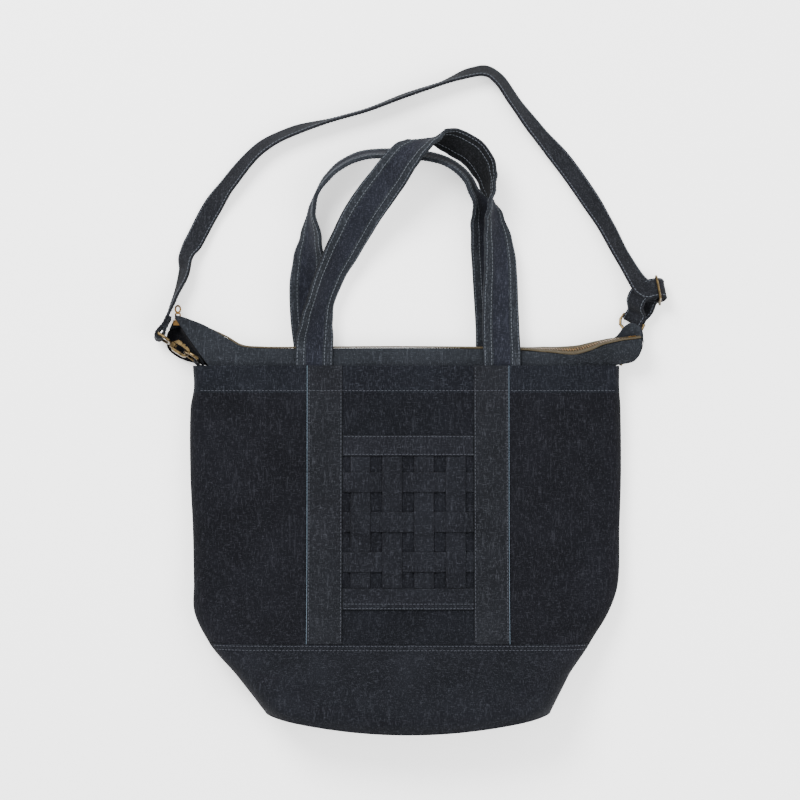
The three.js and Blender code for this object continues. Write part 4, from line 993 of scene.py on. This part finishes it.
def strap_frames(rows, steps):
    """Centre, width direction and face direction along a strap."""
    centres = [row[0] for row in rows]
    frames = []
    for step in range(steps + 1):
        share = step / steps
        place = share * (len(rows) - 1)
        row = min(int(place), len(rows) - 2)
        centre, tangent = catmull(centres, share)
        across = rows[row][1].lerp(rows[row + 1][1], smooth(place - row))
        across = (across - tangent * across.dot(tangent)).normalized()
        frames.append((centre, across, across.cross(tangent).normalized()))
    return frames


def strap(name, frames, profile, materials, tints=None, sharp=50):
    """A strap along frames; the profile gives (across, out) points round its section."""
    rings = [[c + a * x + f * z for x, z in profile] for c, a, f in frames]
    return rings_object(name, rings, materials, (lambda index: tints[index]) if tints else None, sharp=sharp)


def width_direction(aim, lean):
    aim, lean = math.radians(aim), math.radians(lean)
    return Vector((math.cos(aim) * math.cos(lean), math.sin(aim) * math.cos(lean), math.sin(lean)))


# The zip: its steps from row to row, and how far the tapes reach under the chain.
ZIP_STEPS = 14
CHAIN_OVERLAP = 0.4
zip_places = [(Vector((row["across"] * BODY_WIDTH, row["rise"] * GUSSET_HEIGHT, row["height"] * RIM_DEPTH)),
               width_direction(-90, row["lean"])) for row in ZIP_ROWS]
zip_frames = strap_frames(zip_places, (len(ZIP_ROWS) - 1) * ZIP_STEPS)
chain_edge = CHAIN_WIDTH / 2 - CHAIN_OVERLAP
zip_half = ZIP_TAPE_WIDTH / 2
thin = ZIP_TAPE_THICKNESS / 2
for name, low, high in (("zipper_tape_front", chain_edge, zip_half),
                        ("zipper_tape_back", -zip_half, -chain_edge)):
    tape_profile = [(low, -thin), (high, -thin), (high, thin), (low, thin)]
    tape = strap(name + "_cloth", zip_frames, tape_profile, [TAPE])
    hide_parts(name)

# A tooth: half its length along the zip, across it and out of it, in millimetres, its corners as
# (across, narrowing) rows, and the faces between them.
TOOTH_PITCH = 1.25
TOOTH_HALF = (0.45, 1.7, 0.85)
TOOTH_ROWS = ((-1, 1.0), (0.55, 1.0), (1, 0.55))
TOOTH_FACES = ((0, 1, 3, 2), (2, 3, 5, 4), (6, 8, 9, 7), (8, 10, 11, 9), (0, 2, 8, 6), (2, 4, 10, 8),
               (1, 7, 9, 3), (3, 9, 11, 5), (4, 5, 11, 10), (0, 6, 7, 1))
TOOTH_REACH = 0.9
CHAIN_SHARE = 0.955


def zip_teeth():
    """Teeth that reach over the middle from both tapes in turn."""
    points, faces = [], []
    long, wide, high = TOOTH_HALF
    usable = zip_frames[: int(len(zip_frames) * CHAIN_SHARE)]
    for turn, (middle, way, frame_before) in enumerate(walk(usable, TOOTH_PITCH, TOOTH_PITCH)):
        _, across, face = frame_before
        side = 1 if turn % 2 else -1
        base_index = len(points)
        for dx in (-1, 1):
            for dy, narrow in TOOTH_ROWS:
                for dz in (-1, 1):
                    points.append(middle + way * dx * long * narrow
                                  + across * side * (1.0 - dy * wide * TOOTH_REACH)
                                  + face * dz * high * (0.75 + 0.25 * narrow))
        for f in TOOTH_FACES:
            faces.append(tuple(base_index + i for i in (f if side > 0 else reversed(f))))
    return mesh_object("zipper_teeth", points, faces, [BRASS], sharp=35)


teeth = zip_teeth()
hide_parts("zipper_chain")


# Pieces that take the solids' own form, rounded.
ROUNDING_LEVELS = 2
ROUNDED_WELD = 0.02


def rounded(node, material):
    source = frame["nodes"][node]
    mesh = source.data.copy()
    mesh.name = node + "_cloth"
    obj = link(mesh, node + "_cloth")
    mesh.materials.clear()
    mesh.materials.append(material)
    weld = obj.modifiers.new("weld", "WELD")
    weld.merge_threshold = ROUNDED_WELD * MM
    rounding = obj.modifiers.new("smooth", "SUBSURF")
    rounding.levels = ROUNDING_LEVELS
    rounding.render_levels = ROUNDING_LEVELS
    mesh.shade_smooth()
    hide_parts(node)
    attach(obj, "bag")


for node, material in (("gusset_front", GUSSET_DENIM), ("gusset_back", GUSSET_DENIM),
                       ("gusset_end_left", DARK_DENIM), ("gusset_end_right", DARK_DENIM),
                       ("ring_tab_left", STRIP_DENIM), ("ring_tab_right", STRIP_DENIM)):
    rounded(node, material)

# Handles: the folded margins beside the sunk middle, the ridge's height, the rounding of edges
# and ridges, the thickness left at the edges, and the insets of the stitches.
HANDLE_MARGIN = 9.6
HANDLE_RIDGE = 0.5
HANDLE_ROUNDING = 0.7
RIDGE_SLOPE = 0.9
HANDLE_RIM = 0.55
MARGIN_STITCH = 1.9
EDGE_STITCH = 1.6
HANDLE_STEPS = 8
handle_stack = CLOTH_WALL + CLEARANCE + HANDLE_THICKNESS / 2
BACK_FOOT = handle_stack / HANDLE_WIDTH
FRONT_FOOT = (RIM_DEPTH - handle_stack) / HANDLE_WIDTH
FRONT_HANDLE = rows_of(STRAP_COLUMNS, [
    (-0.5, 0, FRONT_FOOT, 0, 0),
    (-0.499, 0.05, FRONT_FOOT, 0, 0),
    (-0.497, 0.09, FRONT_FOOT, 0, 0),
    (-0.486, 0.185, 0.76, -5, -34),
    (-0.462, 0.279, 0.8, -13, -47),
    (-0.407, 0.398, 0.77, -24, -42),
    (-0.335, 0.509, 0.8, -30, -28),
    (-0.234, 0.652, 0.96, -34, -8),
    (-0.11, 0.785, 1.2, -36, 16),
    (-0.015, 0.884, 1.38, -34, 32),
    (0.04, 0.923, 1.34, -20, 42),
    (0.09, 0.948, 1.2, -4, 48),
    (0.13, 0.962, 1.04, 8, 48),
    (0.175, 0.968, 0.94, 28, 50),
    (0.224, 0.958, 0.84, 44, 48),
    (0.28, 0.936, 0.78, 48, 45),
    (0.34, 0.907, 0.74, 38, 44),
    (0.392, 0.855, 0.72, 26, 48),
    (0.424, 0.794, 0.74, 12, 62),
    (0.437, 0.738, 0.83, 2, 78),
    (0.442, 0.691, 0.83, -4, 98),
    (0.456, 0.627, 0.77, -8, 122),
    (0.477, 0.535, 0.74, -8, 140),
    (0.49, 0.432, 0.71, -6, 150),
    (0.491, 0.28, 0.67, -2, 162),
    (0.494, 0.152, 0.65, 0, 174),
    (0.499, 0.069, FRONT_FOOT, 0, 180),
    (0.5, 0.045, FRONT_FOOT, 0, 180),
    (0.5, 0, FRONT_FOOT, 0, 180),
])

BACK_HANDLE = rows_of(STRAP_COLUMNS, [
    (-0.507, 0, BACK_FOOT, 0, 0),
    (-0.513, 0.077, BACK_FOOT, 0, 0),
    (-0.53, 0.188, 0.11, 1, 0),
    (-0.538, 0.326, 0.13, 2, 8),
    (-0.529, 0.444, 0.3, -2, 30),
    (-0.518, 0.545, 0.46, -6, 55),
    (-0.514, 0.656, 0.53, -8, 80),
    (-0.487, 0.732, 0.54, -20, 86),
    (-0.426, 0.807, 0.54, -38, 80),
    (-0.347, 0.862, 0.53, -50, 76),
    (-0.245, 0.897, 0.53, -66, 74),
    (-0.128, 0.906, 0.53, -84, 74),
    (-0, 0.902, 0.53, -92, 74),
    (0.117, 0.892, 0.53, -98, 74),
    (0.202, 0.872, 0.53, -112, 75),
    (0.268, 0.839, 0.53, -126, 75),
    (0.322, 0.793, 0.53, -134, 75),
    (0.352, 0.741, 0.52, -146, 74),
    (0.397, 0.685, 0.42, -160, 50),
    (0.418, 0.603, 0.3, -172, 30),
    (0.434, 0.475, 0.2, -178, 14),
    (0.45, 0.304, 0.14, -180, 6),
    (0.461, 0.155, 0.112, -180, 0),
    (0.462, 0.069, BACK_FOOT, -180, 0),
    (0.462, 0.045, BACK_FOOT, -180, 0),
    (0.462, 0, BACK_FOOT, -180, 0),
])


def row_place(row, spacing, rise, width):
    """A row's place and width direction: across, up and high are shares of three sizes."""
    place = Vector((row["across"] * spacing, row["up"] * rise, row["high"] * width))
    return place, width_direction(row["aim"], row["lean"])


def handle_frames(rows):
    places = [row_place(row, HANDLE_SPACING, HANDLE_RISE, HANDLE_WIDTH) for row in rows]
    tuck = Vector((0, -HANDLE_TUCK, 0))
    places = [(places[0][0] + tuck, places[0][1])] + places + [(places[-1][0] + tuck, places[-1][1])]
    return strap_frames(places, (len(places) - 1) * HANDLE_STEPS)


def handle_section():
    """The handle's section as (across, out) points, with a material for each."""
    half, top = HANDLE_WIDTH / 2, HANDLE_THICKNESS / 2
    edge, rim, shoulder = half - HANDLE_MARGIN, top * HANDLE_RIM, half - HANDLE_ROUNDING
    ridge, sunk = edge + RIDGE_SLOPE, top - HANDLE_RIDGE
    upper = [(-half, rim), (-shoulder, top), (-ridge, top), (-edge, sunk),
             (edge, sunk), (ridge, top), (shoulder, top), (half, rim)]
    lower = [(half, -rim), (shoulder, -top), (0, -top), (-shoulder, -top), (-half, -rim)]
    return upper + lower, [0, 0, 0, 1, 0, 0, 0, 0] + [2] * len(lower)


def ribbon_lines(frames, places, top, cut):
    """Stitch lines on both faces of a strap, without its first and last few frames."""
    return [[(c + a * across + f * out, f * math.copysign(1, out)) for c, a, f in frames[cut:-cut]]
            for across in places for out in (top, -top)]


section, section_tints = handle_section()
# The front handle's inside face takes the painted-shade copy, and the back handle's takes the painted-light
# copy.
for name, rows, inside in (("handle_front", FRONT_HANDLE, HANDLE_INSIDE_SHADED),
                           ("handle_back", BACK_HANDLE, BACK_INSIDE_LIT)):
    frames = handle_frames(rows)
    denims = [HANDLE_EDGE, HANDLE_MIDDLE, inside]
    obj = strap(name + "_cloth", frames, section, denims, section_tints, sharp=40)
    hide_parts(name)
    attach(obj, "bag")
    boundary = HANDLE_WIDTH / 2 - HANDLE_MARGIN + MARGIN_STITCH
    edge = HANDLE_WIDTH / 2 - EDGE_STITCH
    lines = ribbon_lines(frames, (-edge, -boundary, boundary, edge), HANDLE_THICKNESS / 2, HANDLE_STEPS)
    stitches(name + "_stitches", lines, THREAD_PALE)


# The shoulder strap.
STRAP_STEPS = 7
STRAP_ROUNDING = 0.6
STRAP_STITCH = 1.8
STRAP_CUT = 4
ARC_TURNS = (90, 45, 0, -45, -90)


def spot(across, rise, high):
    return Vector((across * STRAP_SPAN, rise * STRAP_RISE, high * STRAP_WIDTH))


def turn_round(bar, axis, along, radius, first_leg, last_leg):
    """The strap's way round a bar; the legs give (distance, height) places beside the bar."""
    forward = (along - axis * along.dot(axis)).normalized()
    side = forward.cross(axis).normalized()

    def at(distance, height):
        return bar + forward * distance + side * height, axis.copy()

    arc = [at(-radius * math.cos(math.radians(turn)), radius * math.sin(math.radians(turn)))
           for turn in ARC_TURNS]
    return [at(*row) for row in first_leg] + arc + [at(*row) for row in last_leg]


left_bar = spot(-0.489, 0.1, 0.925)
left_axis = width_direction(55, 80)
left_strap_way = Vector((0.465, 0.885, 0)).normalized()
right_bar = spot(0.4453, 0.154, 0.5)
right_axis = width_direction(-31, 22)
right_strap_way = -Vector((-0.51, -0.86, -0.03)).normalized()
slide_bar = spot(0.4917, 0.251, 0.7)
slide_axis = width_direction(-82, 25)
back_way = -width_direction(8, 0)
wrap = WIRE_RADIUS + 1.5 * CLEARANCE + STRAP_THICKNESS / 2
outer_wrap = wrap + STRAP_THICKNESS + CLEARANCE
layer = (STRAP_THICKNESS + CLEARANCE) / 2


def lie_on_floor(row):
    lean = math.radians(row["lean"])
    height = 3 * CLEARANCE + STRAP_WIDTH / 2 * math.sin(lean) + STRAP_THICKNESS / 2 * math.cos(lean)
    return (Vector((row["across"] * STRAP_SPAN, row["up"] * STRAP_RISE, height)),
            width_direction(row["aim"], row["lean"]))


def limb(rows):
    return [row_place(row, STRAP_SPAN, STRAP_RISE, STRAP_WIDTH) for row in rows]


strap_places = (
    turn_round(left_bar, left_axis, left_strap_way, wrap, [(20, layer), (10, layer), (4.5, wrap * 0.85)],
               [(4.5, -wrap * 0.85), (10, -layer), (16, -layer)])
    + [lie_on_floor(row) for row in STRAP_ROWS]
    + turn_round(slide_bar, slide_axis, back_way, outer_wrap, [(12, outer_wrap), (6, outer_wrap)],
                 [(5, -outer_wrap)])
    + limb(LOWER_LIMB)
    + turn_round(right_bar, right_axis, right_strap_way, wrap, [(6, wrap)], [(6, -wrap)])
    + limb(UPPER_LIMB)
    + turn_round(slide_bar, slide_axis, back_way, wrap, [(11, layer * 1.3), (5, wrap * 0.9)],
                 [(5, -wrap * 0.85), (10, -layer), (13, -layer)])
)
strap_run = strap_frames(strap_places, (len(strap_places) - 1) * STRAP_STEPS)
half, top = STRAP_WIDTH / 2, STRAP_THICKNESS / 2
rim, shoulder_x = top / 2, half - STRAP_ROUNDING
strap_profile = [(-half, -rim), (-half, rim), (-shoulder_x, top), (shoulder_x, top), (half, rim),
                 (half, -rim), (shoulder_x, -top), (-shoulder_x, -top)]
shoulder = strap("shoulder_strap_cloth", strap_run, strap_profile, [STRAP_DENIM], sharp=40)
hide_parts("shoulder_strap")
strap_lines = ribbon_lines(strap_run, (-half + STRAP_STITCH, half - STRAP_STITCH), top, STRAP_CUT)
stitches("strap_stitches", strap_lines, THREAD_PALE)

# Every cloth piece rides on the bag.
for piece in (front, back, base, teeth, shoulder):
    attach(piece, "bag")
for obj in list(bpy.context.scene.objects):
    if obj.name.endswith("_cloth") and body_of(obj) is None:
        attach(obj, "bag")

# Metal pieces keep the solids' meshes, with softened edges.
METAL_WELD = 0.01
EDGE_WIDTH = 0.22
EDGE_ANGLE = 40
fittings = {"zipper_slider": BRASS, "zipper_pull": BRASS, "zipper_stop": BRASS, "strap_slider": ANTIQUE,
            "ring_left": ANTIQUE, "ring_right": ANTIQUE}
for side in ("left", "right"):
    for piece in ("eye", "body", "gate"):
        fittings[f"hook_{side}_{piece}"] = ANTIQUE
for node, material in fittings.items():
    solid = frame["nodes"][node]
    for material_slot in solid.material_slots:
        material_slot.material = material
    weld = solid.modifiers.new("weld", "WELD")
    weld.merge_threshold = METAL_WELD * MM
    bevel = solid.modifiers.new("bevel", "BEVEL")
    bevel.width = EDGE_WIDTH * MM
    bevel.segments = 2
    bevel.limit_method = "ANGLE"
    bevel.angle_limit = math.radians(EDGE_ANGLE)

# Floor, light and camera; the floor, the lights' places and their sizes are in metres.
FLOOR_REACH = 6
FLOOR_WHITE = 0.95
FLOOR_GLOW = 0.8
SKY_STRENGTH = 1.56
KEY_LIGHT = ((-0.9, 1.3, 1.9), 1.2, 106)
FILL_LIGHT = ((1.4, -0.6, 1.8), 1.6, 46)


def area_light(name, place, size, power):
    """A round light aimed at the middle of the floor."""
    light = bpy.data.lights.new(name, "AREA")
    light.shape = "DISK"
    light.size = size
    light.energy = power
    obj = bpy.data.objects.new(name, light)
    obj.location = place
    obj.rotation_mode = "QUATERNION"
    obj.rotation_quaternion = (-Vector(place)).to_track_quat("-Z", "Y")
    bpy.context.scene.collection.objects.link(obj)


floor_mesh = bpy.data.meshes.new("floor")
floor_corners = [(x * FLOOR_REACH, y * FLOOR_REACH, 0) for x, y in ((-1, -1), (1, -1), (1, 1), (-1, 1))]
floor_mesh.from_pydata(floor_corners, [], [(0, 1, 2, 3)])
floor = link(floor_mesh, "floor")
floor_material, _, _, floor_shader = new_material("floor_white")
floor_shader.inputs["Base Color"].default_value = (FLOOR_WHITE, FLOOR_WHITE, FLOOR_WHITE, 1)
floor_shader.inputs["Roughness"].default_value = 0.9
floor_shader.inputs["Emission Color"].default_value = (1, 1, 1, 1)
floor_shader.inputs["Emission Strength"].default_value = FLOOR_GLOW
floor_mesh.materials.append(floor_material)

world = bpy.data.worlds.new("studio")
bpy.context.scene.world = world
world.use_nodes = True
sky = world.node_tree.nodes["Background"]
sky.inputs["Color"].default_value = (1, 1, 1, 1)
sky.inputs["Strength"].default_value = SKY_STRENGTH
area_light("key", *KEY_LIGHT)
area_light("fill", *FILL_LIGHT)

camera_data = bpy.data.cameras.new("camera")
camera_data.sensor_width = SENSOR
camera_data.lens = SENSOR * CAMERA_HEIGHT / PHOTO_WIDTH
camera_data.clip_end = 50
camera = bpy.data.objects.new("camera", camera_data)
camera.location = (PHOTO_CENTRE + ORIGIN + Vector((0, 0, CAMERA_HEIGHT))) * MM
bpy.context.scene.collection.objects.link(camera)
bpy.context.scene.camera = camera
